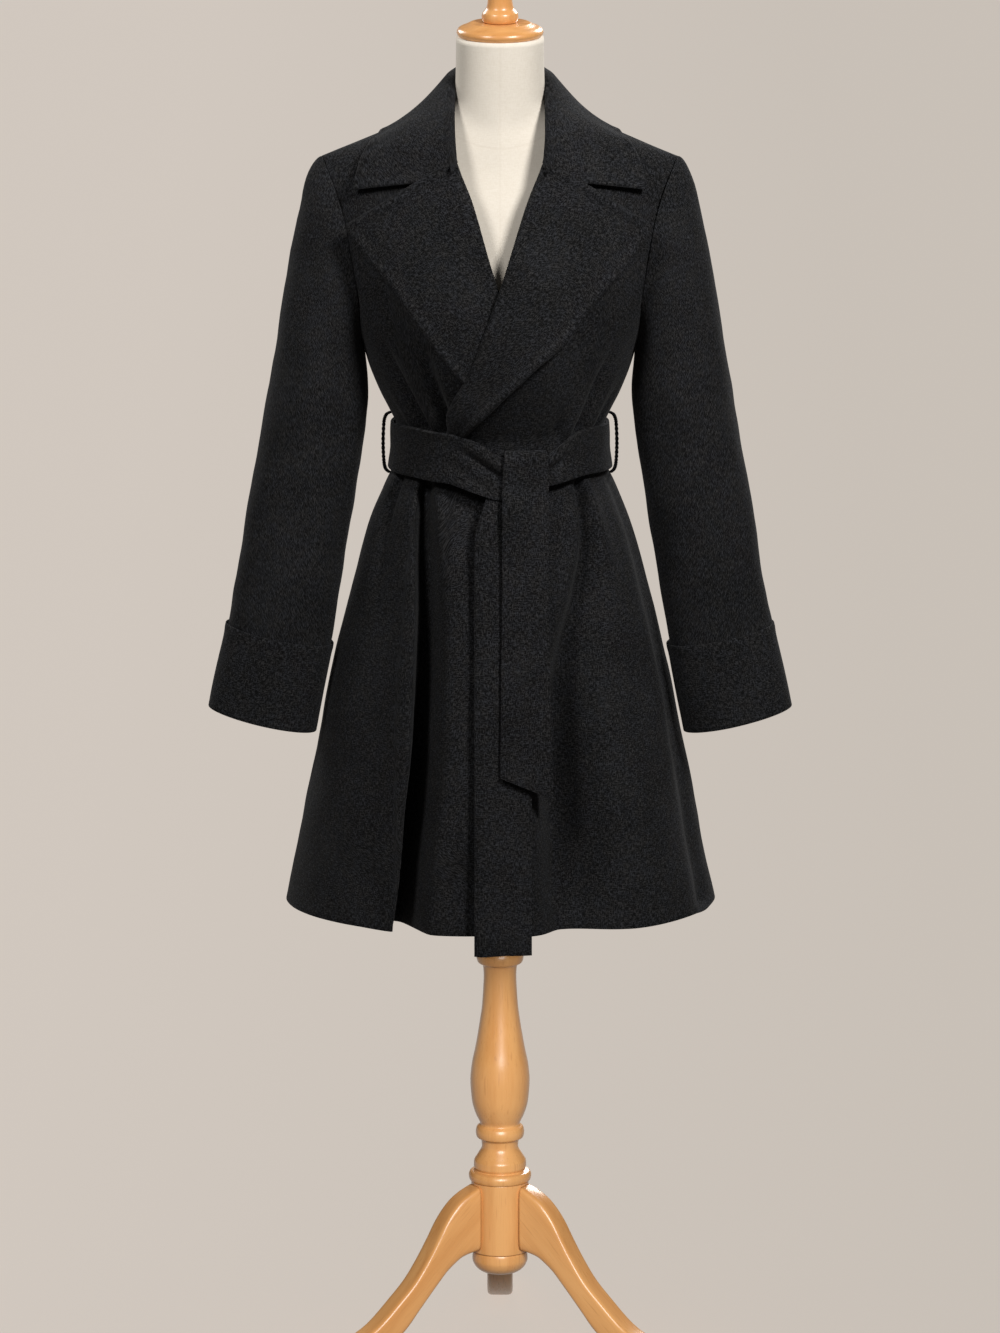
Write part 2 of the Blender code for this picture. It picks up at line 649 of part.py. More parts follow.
def neck_seam(turn):
    """Where the collar is sewn on, just past the cloth's edge.

    The turn is 0 at the front end, 1 at the shoulder seam and 2 at the centre back.
    """
    if turn <= 1.0:
        row = GORGE_ROW + (SHOULDER - GORGE_ROW) * turn
        theta = edge_theta(1, row)
        edge = front_point(1, row, theta)
        past = front_point(1, row, theta + 1.0) - edge
    else:
        x = NECK_POINT_X * (2.0 - turn)
        row = neckline_row(x)
        edge = body_point(row, theta_at_x(row, x))
        past = Vector((-edge.x, NECK_AXIS_Y - edge.y, edge.to_2d().length))
    return edge + past.normalized() * (3 * SEAM + WALL / 2)


def gorge_point(share):
    """A point of the collar's front end beside the lapel's top edge."""
    row = gorge_row(share) + GORGE_GAP_ROWS
    start, end = edge_theta(1, row), lapel_reach(1, row)
    return front_point(1, row, start + (end - start) * share, COLLAR_LIFT)


def collar_section(at):
    keys = list(range(len(COLLAR)))
    values = [smooth(keys, [getattr(row, f) for row in COLLAR], at) for f in Collar._fields[1:]]
    row = Collar("between", *values)
    turn = at / COLLAR_SHOULDER
    if at > COLLAR_SHOULDER:
        turn = 1.0 + (at - COLLAR_SHOULDER) / (keys[-1] - COLLAR_SHOULDER)
    roll = Vector((row.roll_x, row.roll_y, row.roll_z))
    seam = neck_seam(turn)
    edge = seated(Vector((row.edge_x, row.edge_y, row.edge_z)), COLLAR_LIFT, True)
    inward = Vector((-roll.x, NECK_AXIS_Y - roll.y, 0.0)).normalized()
    inside = roll + inward * ROLL_INSIDE - Vector((0.0, 0.0, ROLL_DROP))
    fall = roll - inward * ROLL_OUTSIDE - Vector((0.0, 0.0, ROLL_DROP))
    points = [seam.lerp(inside, k / STAND_STEPS) for k in range(STAND_STEPS + 1)]
    points.append(roll)
    notch = gorge_point(NOTCH_SHARE)
    front = ease(1.0 - at)
    for k in range(FALL_STEPS + 1):
        u = k / FALL_STEPS
        straight = fall.lerp(edge, u) - Vector((0.0, 0.0, row.sag * 4 * u * (1 - u)))
        if u < GORGE_SHARE:
            bent = gorge_point(NOTCH_SHARE * u / GORGE_SHARE)
        else:
            bent = notch.lerp(edge, (u - GORGE_SHARE) / (1 - GORGE_SHARE))
        point = straight.lerp(bent, front)
        lift = COLLAR_LIFT + ROLL_RISE * (1 - u) ** 3
        points.append(fall if k == 0 else seated(point, lift, False))
    return points


def make_collar(name, material, home):
    last = len(COLLAR) - 1
    half = [collar_section(last * k / COLLAR_SECTIONS) for k in range(COLLAR_SECTIONS + 1)]
    mirrored = [[Vector((-p.x, p.y, p.z)) for p in section] for section in half]
    return sheet(name, half + mirrored[-2::-1], material, home, WALL, 0.0)


def heading(psi):
    """Direction and reach of the sleeve as it leaves the armhole at psi: 0 top, 90 front, 180 under."""
    turn = abs((psi + 180.0) % 360.0 - 180.0)
    if turn <= 90.0:
        a, b, t = HEAD_TOP, HEAD_SIDE, ease(turn / 90.0)
    else:
        a, b, t = HEAD_SIDE, HEAD_UNDER, ease((turn - 90.0) / 90.0)
    out, fore, down, reach = [p + (q - p) * t for p, q in zip(a, b)]
    face = -1.0 if psi % 360.0 < 180.0 else 1.0
    return Vector((out, face * fore, -down)).normalized(), reach


def armhole_point(psi):
    turn = abs((psi + 180.0) % 360.0 - 180.0)
    row = SHOULDER - (SHOULDER - UNDERARM) * turn / 180.0
    theta = side_theta(row)
    return body_point(row, -theta if psi % 360.0 < 180.0 else theta)


def ring_point(ring, psi):
    """A point of a sleeve ring; psi 0 is its outer edge, 90 its front."""
    a, tilt = math.radians(psi), math.radians(ring.tilt)
    across = ring.across * math.cos(a)
    return Vector((
        ring.x + across * math.cos(tilt),
        ring.y - ring.deep * math.sin(a),
        ring.z + across * math.sin(tilt),
    ))


def sleeve_rows():
    psis = [360.0 * j / SLEEVE_COLUMNS for j in range(SLEEVE_COLUMNS)]
    first, second = SLEEVE[0], SLEEVE[1]
    rows = []
    for t in CAP_STEPS:
        points = []
        for psi in psis:
            leave, reach = heading(psi)
            start = armhole_point(psi) + leave * SLEEVE_SEAM
            land = ring_point(first, psi)
            under = (1 - math.cos(math.radians(psi))) / 2
            pull = CAP_LANDING + (UNDER_LANDING - CAP_LANDING) * under
            down = (ring_point(second, psi) - land).normalized() * pull
            points.append(
                start * ((1 + 2 * t) * (1 - t) ** 2)
                + leave * (reach * t * (1 - t) ** 2)
                + land * (t * t * (3 - 2 * t))
                + down * (t * t * (t - 1))
            )
        rows.append(points)
    rows += [[ring_point(ring, psi) for psi in psis] for ring in SLEEVE]
    return rows


def mirrored_rows(rows, side):
    return [[Vector((side * p.x, p.y, p.z)) for p in row] for row in rows]


def make_sleeve(name, side, material, home):
    rows = mirrored_rows(sleeve_rows(), side)
    return sheet(name, rows, material, home, WALL, -1.0, closed=True, flip=side < 0)


def make_cuff(name, side, material, home):
    """The turned-back cuff: the sleeve's own points moved out, standing proud at its top edge."""
    rings = SLEEVE[CUFF_TOP_RING:]
    psis = [360.0 * j / SLEEVE_COLUMNS for j in range(SLEEVE_COLUMNS)]
    rows = []
    for i, ring in enumerate(rings):
        lift = SEAM * 2 + (CUFF_STAND if i == 0 else 0.0)
        grown = ring._replace(across=ring.across + lift, deep=ring.deep + lift)
        drop = CUFF_DROP if i == len(rings) - 1 else 0.0
        rows.append([ring_point(grown, psi) - Vector((0.0, 0.0, drop)) for psi in psis])
    return sheet(name, mirrored_rows(rows, side), material, home, WALL, 1.0, closed=True, flip=side < 0)


def row_at(z):
    """Row of BODY at a height below the underarm."""
    return smooth([s.side_z for s in BODY[:UNDERARM]], list(range(UNDERARM)), z)


def belt_point(angle, z, stand):
    ring = ring_at(row_at(z))
    c, s = math.cos(math.radians(angle)), math.sin(math.radians(angle))
    deep = ring.back if s > 0 else ring.front
    away = Vector((c * deep, s * ring.ring_x, 0.0)).normalized()
    return Vector((ring.ring_x * c, deep * s, z)) + away * stand


def make_belt(name, material, home):
    """The band round the waist, from behind the knot round both sides."""
    rows = []
    for i in range(BELT_STEPS + 1):
        angle = BELT[0].angle + (BELT[-1].angle - BELT[0].angle) * i / BELT_STEPS
        top, low, stand = [read(BELT, "angle", f, angle) for f in ("top", "low", "stand")]
        heights = [low + (top - low) * k / BELT_ROWS for k in range(BELT_ROWS + 1)]
        rows.append([belt_point(angle, z, stand) for z in heights])
    return sheet(name, rows, material, home, BELT_WALL, 1.0)


def tie_point(x, z, stand):
    """A point in front of the coat at x and z: the front's section there, moved out."""
    ring = ring_at(row_at(z))
    share = x / ring.ring_x
    y = -ring.front * math.sqrt(1 - share * share) - stand
    return Vector((x, y, z))


def tie_rows(table, slant):
    top, low = table[0].z, table[-1].z
    rows = []
    for i in range(TIE_ROWS + 1):
        z = top + (low - top) * i / TIE_ROWS
        left, right, stand = [read(table, "z", f, z) for f in ("left", "right", "stand")]
        cut = slant * i / TIE_ROWS
        points = []
        for j in range(TIE_COLUMNS + 1):
            share = j / TIE_COLUMNS
            points.append(tie_point(left + (right - left) * share, z - cut * (share - 0.5), stand))
        rows.append(points)
    return rows


def make_short_end(name, material, home):
    """The end that folds over the top of the band and hangs in front, cut on a slant."""
    rows = tie_rows(SHORT_END, SHORT_SLANT)
    over = [p + Vector((0.0, FOLD_BACK * 0.35, FOLD_RISE)) for p in rows[0]]
    back = [p + Vector((0.0, FOLD_BACK, FOLD_RISE)) for p in rows[0]]
    return sheet(name, [back, over] + rows, material, home, BELT_WALL, 1.0, flip=True)


def make_long_end(name, material, home):
    return sheet(name, tie_rows(LONG_END, 0.0), material, home, BELT_WALL, 1.0, flip=True)


def make_loop(name, side, material, home):
    """A thread loop at the side seam, standing clear of the belt that passes through it."""
    top_x = smooth([s.side_z for s in BODY], [s.side_x for s in BODY], LOOP_TOP_Z)
    low_x = smooth([s.side_z for s in BODY], [s.side_x for s in BODY], LOOP_LOW_Z)
    clear = LOOP_RADIUS + SEAM
    route = [
        (top_x + clear, LOOP_TOP_Z),
        (LOOP_OUT_X - LOOP_SWELL * 3, LOOP_TOP_Z - LOOP_BEND * 0.2),
        (LOOP_OUT_X, LOOP_TOP_Z - LOOP_BEND),
        (LOOP_OUT_X + LOOP_SWELL, WAIST_Z),
        (LOOP_OUT_X, LOOP_LOW_Z + LOOP_BEND),
        (LOOP_OUT_X - LOOP_SWELL * 2, LOOP_LOW_Z + LOOP_BEND * 0.3),
        (low_x + clear, LOOP_LOW_Z),
    ]
    curve = bpy.data.curves.new(name, "CURVE")
    curve.dimensions = "3D"
    curve.bevel_depth = LOOP_RADIUS
    curve.bevel_resolution = 1
    curve.use_fill_caps = True
    spline = curve.splines.new("POLY")
    spline.points.add(len(route) - 1)
    for knot, (x, z) in zip(spline.points, route):
        knot.co = (side * x, 0.0, z, 1.0)
    curve.materials.append(material)
    obj = bpy.data.objects.new(name, curve)
    link(obj, *home)
    return obj


def make_form(name, material, home):
    """The linen covered torso and neck, a closed loft of rounded rings."""
    points = []
    for row in FORM:
        for j in range(FORM_COLUMNS):
            a = 2 * math.pi * j / FORM_COLUMNS
            c, s = math.cos(a), math.sin(a)
            x = math.copysign(abs(c) ** (2 / row.power), c) * row.half
            deep = row.back if s > 0 else row.front
            points.append((x, math.copysign(abs(s) ** (2 / row.power), s) * deep, row.z))
    n = FORM_COLUMNS
    faces = [tuple(reversed(range(n)))]
    for i in range(len(FORM) - 1):
        for j in range(n):
            k = (j + 1) % n
            faces.append((i * n + j, i * n + k, (i + 1) * n + k, (i + 1) * n + j))
    faces.append(tuple(range((len(FORM) - 1) * n, len(FORM) * n)))
    mesh = bpy.data.meshes.new(name)
    mesh.from_pydata(points, [], faces)
    mesh.materials.append(material)
    mesh.shade_smooth()
    obj = bpy.data.objects.new(name, mesh)
    link(obj, *home)
    return obj


def make_leg(name, azimuth, material, home):
    """A curved leg sawn from a board: an outline filled and extruded, with rounded edges."""
    curve = bpy.data.curves.new(name, "CURVE")
    curve.dimensions = "2D"
    curve.fill_mode = "BOTH"
    curve.extrude = LEG_HALF_WIDTH
    spline = curve.splines.new("POLY")
    outline = LEG_TOP + LEG_UNDER
    spline.points.add(len(outline) - 1)
    for knot, point in zip(spline.points, outline):
        knot.co = (point.reach, point.z, 0.0, 1.0)
    spline.use_cyclic_u = True
    curve.materials.append(material)
    obj = bpy.data.objects.new(name, curve)
    obj.rotation_euler = (math.radians(90.0), 0.0, math.radians(azimuth))
    weld = obj.modifiers.new("weld", "WELD")
    weld.merge_threshold = 0.00005
    rounding = obj.modifiers.new("rounding", "BEVEL")
    rounding.width = LEG_ROUND
    rounding.segments = 2
    rounding.limit_method = "ANGLE"
    rounding.angle_limit = math.radians(50.0)
    link(obj, *home)
    return obj


def centre_plan(root):
    """Move the whole part so that the middle of its plan lies on the origin."""
    bpy.context.view_layer.update()
    depsgraph = bpy.context.evaluated_depsgraph_get()
    reach = []
    for obj in root.children:
        shape = obj.evaluated_get(depsgraph)
        mesh = shape.to_mesh()
        reach += [(obj.matrix_world @ vertex.co).y for vertex in mesh.vertices]
        shape.to_mesh_clear()
    root.location.y = -(min(reach) + max(reach)) / 2


def main():
    for obj in list(bpy.data.objects):
        bpy.data.objects.remove(obj, do_unlink=True)
    collection = bpy.data.collections.new("wrap_coat_on_dress_form")
    bpy.context.scene.collection.children.link(collection)
    root = bpy.data.objects.new("stand_axis", None)
    collection.objects.link(root)
    home = (collection, root)
    wool = make_material("wool", WOOL, 0.92)
    belt_wool = make_material("belt_wool", WOOL, 0.90)
    linen = make_material("linen", LINEN, 0.88)
    beech = make_material("beech", BEECH, 0.35)

    make_back("back", wool, home)
    for side, word in ((1, "left"), (-1, "right")):
        make_front("front_" + word, side, wool, home)
        make_lapel("lapel_" + word, side, wool, home)
        make_sleeve("sleeve_" + word, side, wool, home)
        make_cuff("cuff_" + word, side, wool, home)
        make_loop("belt_loop_" + word, side, belt_wool, home)
    make_collar("collar", wool, home)
    make_belt("belt", belt_wool, home)
    make_short_end("belt_end_short", belt_wool, home)
    make_long_end("belt_end_long", belt_wool, home)

    make_form("form", linen, home)
    turned("finial", FINIAL, beech, home, NECK_AXIS_Y)
    turned("neck_cap", NECK_CAP, beech, home, NECK_AXIS_Y)
    turned("column", COLUMN, beech, home)
    turned("hub", HUB, beech, home)
    turned("drop", DROP, beech, home)
    for name, azimuth in LEG_AZIMUTHS.items():
        make_leg(name, azimuth, beech, home)
    centre_plan(root)


main()
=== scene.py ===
import math
from collections import namedtuple
from functools import lru_cache

import bpy
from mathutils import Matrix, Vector, noise


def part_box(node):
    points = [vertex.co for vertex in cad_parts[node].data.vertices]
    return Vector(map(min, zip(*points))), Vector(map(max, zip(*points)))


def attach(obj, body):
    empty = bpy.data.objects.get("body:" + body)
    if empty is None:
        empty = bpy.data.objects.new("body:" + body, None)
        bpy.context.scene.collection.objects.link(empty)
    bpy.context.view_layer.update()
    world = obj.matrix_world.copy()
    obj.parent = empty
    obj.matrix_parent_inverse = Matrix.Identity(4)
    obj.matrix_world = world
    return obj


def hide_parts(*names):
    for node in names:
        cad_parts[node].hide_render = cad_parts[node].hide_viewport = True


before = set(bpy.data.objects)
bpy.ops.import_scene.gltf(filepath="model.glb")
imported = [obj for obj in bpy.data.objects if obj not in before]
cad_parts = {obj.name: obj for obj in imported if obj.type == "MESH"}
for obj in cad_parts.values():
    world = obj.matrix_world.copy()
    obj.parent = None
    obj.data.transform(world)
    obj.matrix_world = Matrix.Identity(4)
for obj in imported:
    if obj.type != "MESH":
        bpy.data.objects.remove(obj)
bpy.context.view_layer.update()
columnLow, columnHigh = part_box("column")
axisY = (columnLow.y + columnHigh.y) / 2  # the stand's upright axis
print("frame loaded, axis at", round(axisY, 4))

# numbers and tables


def between(xs, ys, x, levelEnd=False):  # monotone cubic through the rows of a table
    if xs[0] > xs[-1]:
        xs = xs[::-1]
        ys = ys[::-1]
    if x <= xs[0]:
        return ys[0]
    if x >= xs[-1]:
        return ys[-1]
    last = len(xs) - 1
    i = max(k for k in range(last) if xs[k] <= x)

    def grade(k):
        return (ys[k + 1] - ys[k]) / (xs[k + 1] - xs[k])

    def slope(k):
        if k == last and levelEnd:
            return 0.0
        if k in (0, last):
            return grade(min(k, last - 1))
        before, after = grade(k - 1), grade(k)
        if before * after <= 0.0:
            return 0.0
        return 2.0 * before * after / (before + after)

    h = xs[i + 1] - xs[i]
    t = (x - xs[i]) / h
    low = (1 + 2 * t) * (1 - t) ** 2 * ys[i] + t * (1 - t) ** 2 * h * slope(i)
    high = t * t * (3 - 2 * t) * ys[i + 1] + t * t * (t - 1) * h * slope(i + 1)
    return low + high


class Piece(dict):  # a piece's numbers, read by their names
    __getattr__ = dict.__getitem__


def rowsOf(kind, *rows):  # a table of named rows
    return [kind(*row) for row in rows]


def tableAt(table, key, value, at):
    return between([getattr(r, key) for r in table], [getattr(r, value) for r in table], at)


def tableRow(table, at):  # the other columns, where the first one has the value asked for
    key, *others = table[0]._fields
    return [tableAt(table, key, other, at) for other in others]


def rowBetween(rows, at, level=()):  # part of the way from one row to the next
    keys = list(range(len(rows)))
    return [between(keys, values, at, k in level) for k, values in enumerate(zip(*rows))]


def ease(t):
    t = min(max(t, 0.0), 1.0)
    return t * t * (3 - 2 * t)


def hump(x, wide):
    return math.exp(-(x / wide) ** 2)


def wobble(p, size, seed, depth):  # smooth uneven drift, the same on every run
    return noise.noise(Vector((p.x / size + seed, p.y / size, p.z / size))) * depth


def cosSin(angle):
    a = math.radians(angle)
    return math.cos(a), math.sin(a)


def swing(angle):  # the same turn, between -180 and 180
    return (angle + 180.0) % 360.0 - 180.0


def lengthsAlong(points):
    line = [0.0]
    for a, b in zip(points, points[1:]):
        line.append(line[-1] + (b - a).length)
    return line


def mirrored(p, side):
    return Vector((side * p.x, p.y, p.z))


# looks


def newLook(name):
    look = bpy.data.materials.new(name)
    look.use_nodes = True
    tree = look.node_tree
    return look, tree, tree.nodes["Principled BSDF"]


def put(tree, kind, sockets=None, **settings):  # adds a node, links or sets its sockets
    node = tree.nodes.new(kind)
    for key, value in settings.items():
        setattr(node, key, value)
    for key, value in (sockets or {}).items():
        if isinstance(value, bpy.types.NodeSocket):
            tree.links.new(value, node.inputs[key])
        else:
            node.inputs[key].default_value = value
    return node


def sums(tree, operation, a, b=0.0, clamp=False):
    node = put(tree, "ShaderNodeMath", {0: a, 1: b}, operation=operation, use_clamp=clamp)
    return node.outputs[0]


def ranged(tree, value, low, high, toLow=0.0, toHigh=1.0):
    sockets = {"Value": value, "From Min": low, "From Max": high, "To Min": toLow, "To Max": toHigh}
    return put(tree, "ShaderNodeMapRange", sockets).outputs["Result"]


def mixed(tree, share, a, b, blend="MIX"):
    node = put(tree, "ShaderNodeMix", {0: share, 6: a, 7: b}, data_type="RGBA", blend_type=blend)
    return node.outputs[2]


def scaled(tree, vector, scale):
    return put(tree, "ShaderNodeMapping", {"Vector": vector, "Scale": scale}).outputs[0]


def speckle(tree, vector, scale=1.0, detail=2.0, rough=0.5):
    sockets = {"Vector": vector, "Scale": scale, "Detail": detail, "Roughness": rough}
    return put(tree, "ShaderNodeTexNoise", sockets).outputs["Fac"]


def surface(tree, shader, colour, height, look):  # links colour and bump, sets the rest
    tree.links.new(colour, shader.inputs["Base Color"])
    strength, distance = look.bump
    bump = put(tree, "ShaderNodeBump", {"Height": height, "Strength": strength, "Distance": distance})
    tree.links.new(bump.outputs["Normal"], shader.inputs["Normal"])
    for key, value in look.surface.items():
        shader.inputs[key].default_value = value


woolLook = Piece(
    dark=(0.0018, 0.0018, 0.0019, 1.0),
    light=(0.038, 0.038, 0.0395, 1.0),
    cool=(0.97, 0.99, 1.05, 1.0),
    warm=(1.03, 1.00, 0.97, 1.0),
    threadFine=950.0,  # threads to the metre
    threadLong=240.0,
    threadRough=0.6,
    napFine=1800.0,
    napShare=0.5,
    cloud=(22.0, 4.0),  # scale, detail
    tint=(90.0, 3.0),
    fleck=(0.49, 0.68),
    fibre=(0.35, 0.75, -0.16, 0.20),
    drift=(0.35, 0.65, -0.07, 0.07),
    hue=(0.42, 0.58),
    bump=(0.8, 0.0007),
    surface={
        "Roughness": 0.95,
        "Specular IOR Level": 0.12,
        "Sheen Weight": 0.025,
        "Sheen Roughness": 0.45,
    },
)


def makeWool(name):
    look, tree, shader = newLook(name)
    flat = put(tree, "ShaderNodeUVMap", uv_map="cloth").outputs["UV"]
    place = put(tree, "ShaderNodeTexCoord").outputs["Object"]
    fine, long = woolLook.threadFine, woolLook.threadLong
    scales = ((fine, long, 1.0), (long, fine, 1.0))  # warp, then weft
    threads = [speckle(tree, scaled(tree, flat, scale), rough=woolLook.threadRough) for scale in scales]
    weave = sums(tree, "MAXIMUM", *threads)
    nap = speckle(tree, place, woolLook.napFine)
    cloud = speckle(tree, place, *woolLook.cloud)
    tint = speckle(tree, place, *woolLook.tint)
    share = sums(tree, "ADD", ranged(tree, weave, *woolLook.fleck), ranged(tree, nap, *woolLook.fibre))
    share = sums(tree, "ADD", share, ranged(tree, cloud, *woolLook.drift), True)
    colour = mixed(tree, share, woolLook.dark, woolLook.light)
    hue = mixed(tree, ranged(tree, tint, *woolLook.hue), woolLook.cool, woolLook.warm)
    colour = mixed(tree, 1.0, colour, hue, "MULTIPLY")
    height = sums(tree, "ADD", weave, sums(tree, "MULTIPLY", nap, woolLook.napShare))
    surface(tree, shader, colour, height, woolLook)
    return look


linenLook = Piece(
    light=(0.77, 0.70, 0.60, 1.0),
    dark=(0.725, 0.652, 0.548, 1.0),
    seam=(0.62, 0.54, 0.44, 1.0),
    seamHalf=0.0007,
    seamSoft=2.2,
    seamDeep=1.4,
    middleShare=0.14,
    neckShare=0.20,
    neckSeamZ=1.327,
    neckSeamRise=5.2,
    threads=((900.0, 900.0, 210.0), (170.0, 170.0, 900.0)),
    threadRough=0.55,
    weave=(0.38, 0.60),
    cloud=(16.0, 3.0),
    drift=(0.35, 0.65, -0.18, 0.18),
    bump=(0.22, 0.0005),
    surface={"Roughness": 0.88, "Specular IOR Level": 0.2, "Sheen Weight": 0.08},
)


def makeLinen():
    look, tree, shader = newLook("linenCover")
    place = put(tree, "ShaderNodeTexCoord").outputs["Object"]
    axes = put(tree, "ShaderNodeSeparateXYZ", {"Vector": place})
    rough = linenLook.threadRough
    threads = [speckle(tree, scaled(tree, place, scale), rough=rough) for scale in linenLook.threads]
    weave = sums(tree, "MULTIPLY", sums(tree, "ADD", *threads), 0.5)
    cloud = ranged(tree, speckle(tree, place, *linenLook.cloud), *linenLook.drift)
    share = sums(tree, "ADD", ranged(tree, weave, *linenLook.weave), cloud, True)
    cloth = mixed(tree, share, linenLook.dark, linenLook.light)

    def seam(away, strength):
        half = linenLook.seamHalf
        line = ranged(tree, sums(tree, "ABSOLUTE", away), half, half * linenLook.seamSoft, 1.0, 0.0)
        return sums(tree, "MULTIPLY", line, strength)

    rise = sums(tree, "MULTIPLY", sums(tree, "POWER", axes.outputs["X"], 2.0), linenLook.neckSeamRise)
    level = sums(tree, "SUBTRACT", sums(tree, "SUBTRACT", axes.outputs["Z"], linenLook.neckSeamZ), rise)
    middle = seam(axes.outputs["X"], linenLook.middleShare)
    seams = sums(tree, "MAXIMUM", middle, seam(level, linenLook.neckShare))
    height = sums(tree, "SUBTRACT", weave, sums(tree, "MULTIPLY", seams, linenLook.seamDeep))
    surface(tree, shader, mixed(tree, seams, cloth, linenLook.seam), height, linenLook)
    return look


beechLook = Piece(
    light=(0.76, 0.385, 0.135, 1.0),
    dark=(0.64, 0.29, 0.088, 1.0),
    fleck=(0.44, 0.18, 0.052, 1.0),
    ring=(46.0, 0.07),  # scale, and its share along the fibres
    ringNoise=(1.0, 5.0, 0.6),
    pore=(420.0, 0.06),
    bands=(0.36, 0.64),
    dots=(0.60, 0.74, 0.0, 0.40),
    gloss=(0.3, 0.7, 0.26, 0.38),
    bump=(0.12, 0.0004),
    surface={"Coat Weight": 0.25, "Coat Roughness": 0.22},
)


def makeBeech(name, grain):  # grain is the way the fibres run
    look, tree, shader = newLook(name)
    turn = Vector(grain).rotation_difference(Vector((0.0, 0.0, 1.0))).to_euler()
    place = put(tree, "ShaderNodeTexCoord").outputs["Object"]
    laid = put(tree, "ShaderNodeMapping", {"Vector": place, "Rotation": turn}).outputs[0]

    def figure(fine, along, *kind):
        return speckle(tree, scaled(tree, laid, (fine, fine, fine * along)), *kind)

    bands = figure(*beechLook.ring, *beechLook.ringNoise)
    pores = figure(*beechLook.pore)
    colour = mixed(tree, ranged(tree, bands, *beechLook.bands), beechLook.dark, beechLook.light)
    colour = mixed(tree, ranged(tree, pores, *beechLook.dots), colour, beechLook.fleck)
    tree.links.new(ranged(tree, pores, *beechLook.gloss), shader.inputs["Roughness"])
    surface(tree, shader, colour, pores, beechLook)
    return look


wool = makeWool("woolCloth")
beltWool = makeWool("beltCloth")
linen = makeLinen()
print("looks made")

# cloth walls from grids of points


def addThing(name, data):
    made = bpy.data.objects.new(name, data)
    bpy.context.collection.objects.link(made)
    return made


def addPiece(name, data):
    made = addThing(name, data)
    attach(made, "root")
    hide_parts(name)
    return made


def newMesh(name, points, faces, look):
    mesh = bpy.data.meshes.new(name)
    mesh.from_pydata([(x, y + axisY, z) for x, y, z in points], [], faces)
    mesh.materials.append(look)
    mesh.shade_smooth()
    return mesh


def sweepSteps(rows, closed):  # metres along each row and up each column, for the weave
    rows = [row + row[:1] if closed else row for row in rows]
    across = []
    for row in rows:
        line = lengthsAlong(row)
        middle = line[len(line) // 2]
        across.append([u - middle for u in line])
    return across, [lengthsAlong(column) for column in zip(*rows)]


def relief(rows, depth, closed=False, flip=False):  # moves points along the cloth's outward normal
    wide, tall = len(rows[0]), len(rows)
    moved = []
    for i, row in enumerate(rows):
        line = []
        for j, p in enumerate(row):
            left = row[j - 1] if closed else row[max(j - 1, 0)]
            right = row[(j + 1) % wide] if closed else row[min(j + 1, wide - 1)]
            up = rows[min(i + 1, tall - 1)][j] - rows[max(i - 1, 0)][j]
            normal = (right - left).cross(up)
            if flip:
                normal.negate()
            line.append(p + normal.normalized() * depth(i, j, p))
        moved.append(line)
    return moved


rimShape = Piece(share=0.42, segments=2, angle=68.0)  # share of the wall


def clothPiece(name, rows, look, piece, closed=False, flip=False):
    wide = len(rows[0])
    across, climb = sweepSteps(rows, closed)
    faces = []
    corners = []
    for i in range(len(rows) - 1):
        for j in range(wide if closed else wide - 1):
            quad = [(i, j), (i, j + 1), (i + 1, j + 1), (i + 1, j)]
            if flip:
                quad.reverse()
            faces.append([a * wide + b % wide for a, b in quad])
            corners += [(across[a][b], climb[b][a]) for a, b in quad]
    mesh = newMesh(name, [p for row in rows for p in row], faces, look)
    layer = mesh.uv_layers.new(name="cloth")
    for corner, spot in zip(layer.data, corners):
        corner.uv = spot
    made = addPiece(name, mesh)
    wall = made.modifiers.new("wall", "SOLIDIFY")
    wall.thickness = piece.wall
    wall.offset = piece.side
    rim = made.modifiers.new("rim", "BEVEL")
    rim.width = piece.wall * rimShape.share
    rim.segments = rimShape.segments
    rim.limit_method = "ANGLE"
    rim.angle_limit = math.radians(rimShape.angle)


# the coat's body, hem to shoulder

sectionRow = namedtuple("sectionRow", "sideZ sideX ringX front back centreZ")
foldRow = namedtuple("foldRow", "topAngle lowAngle topZ lowZ topDepth lowDepth before after")
deepRow = namedtuple("deepRow", "z angle depth before after lean rise")
edgeRow = namedtuple("edgeRow", "z upper lower")

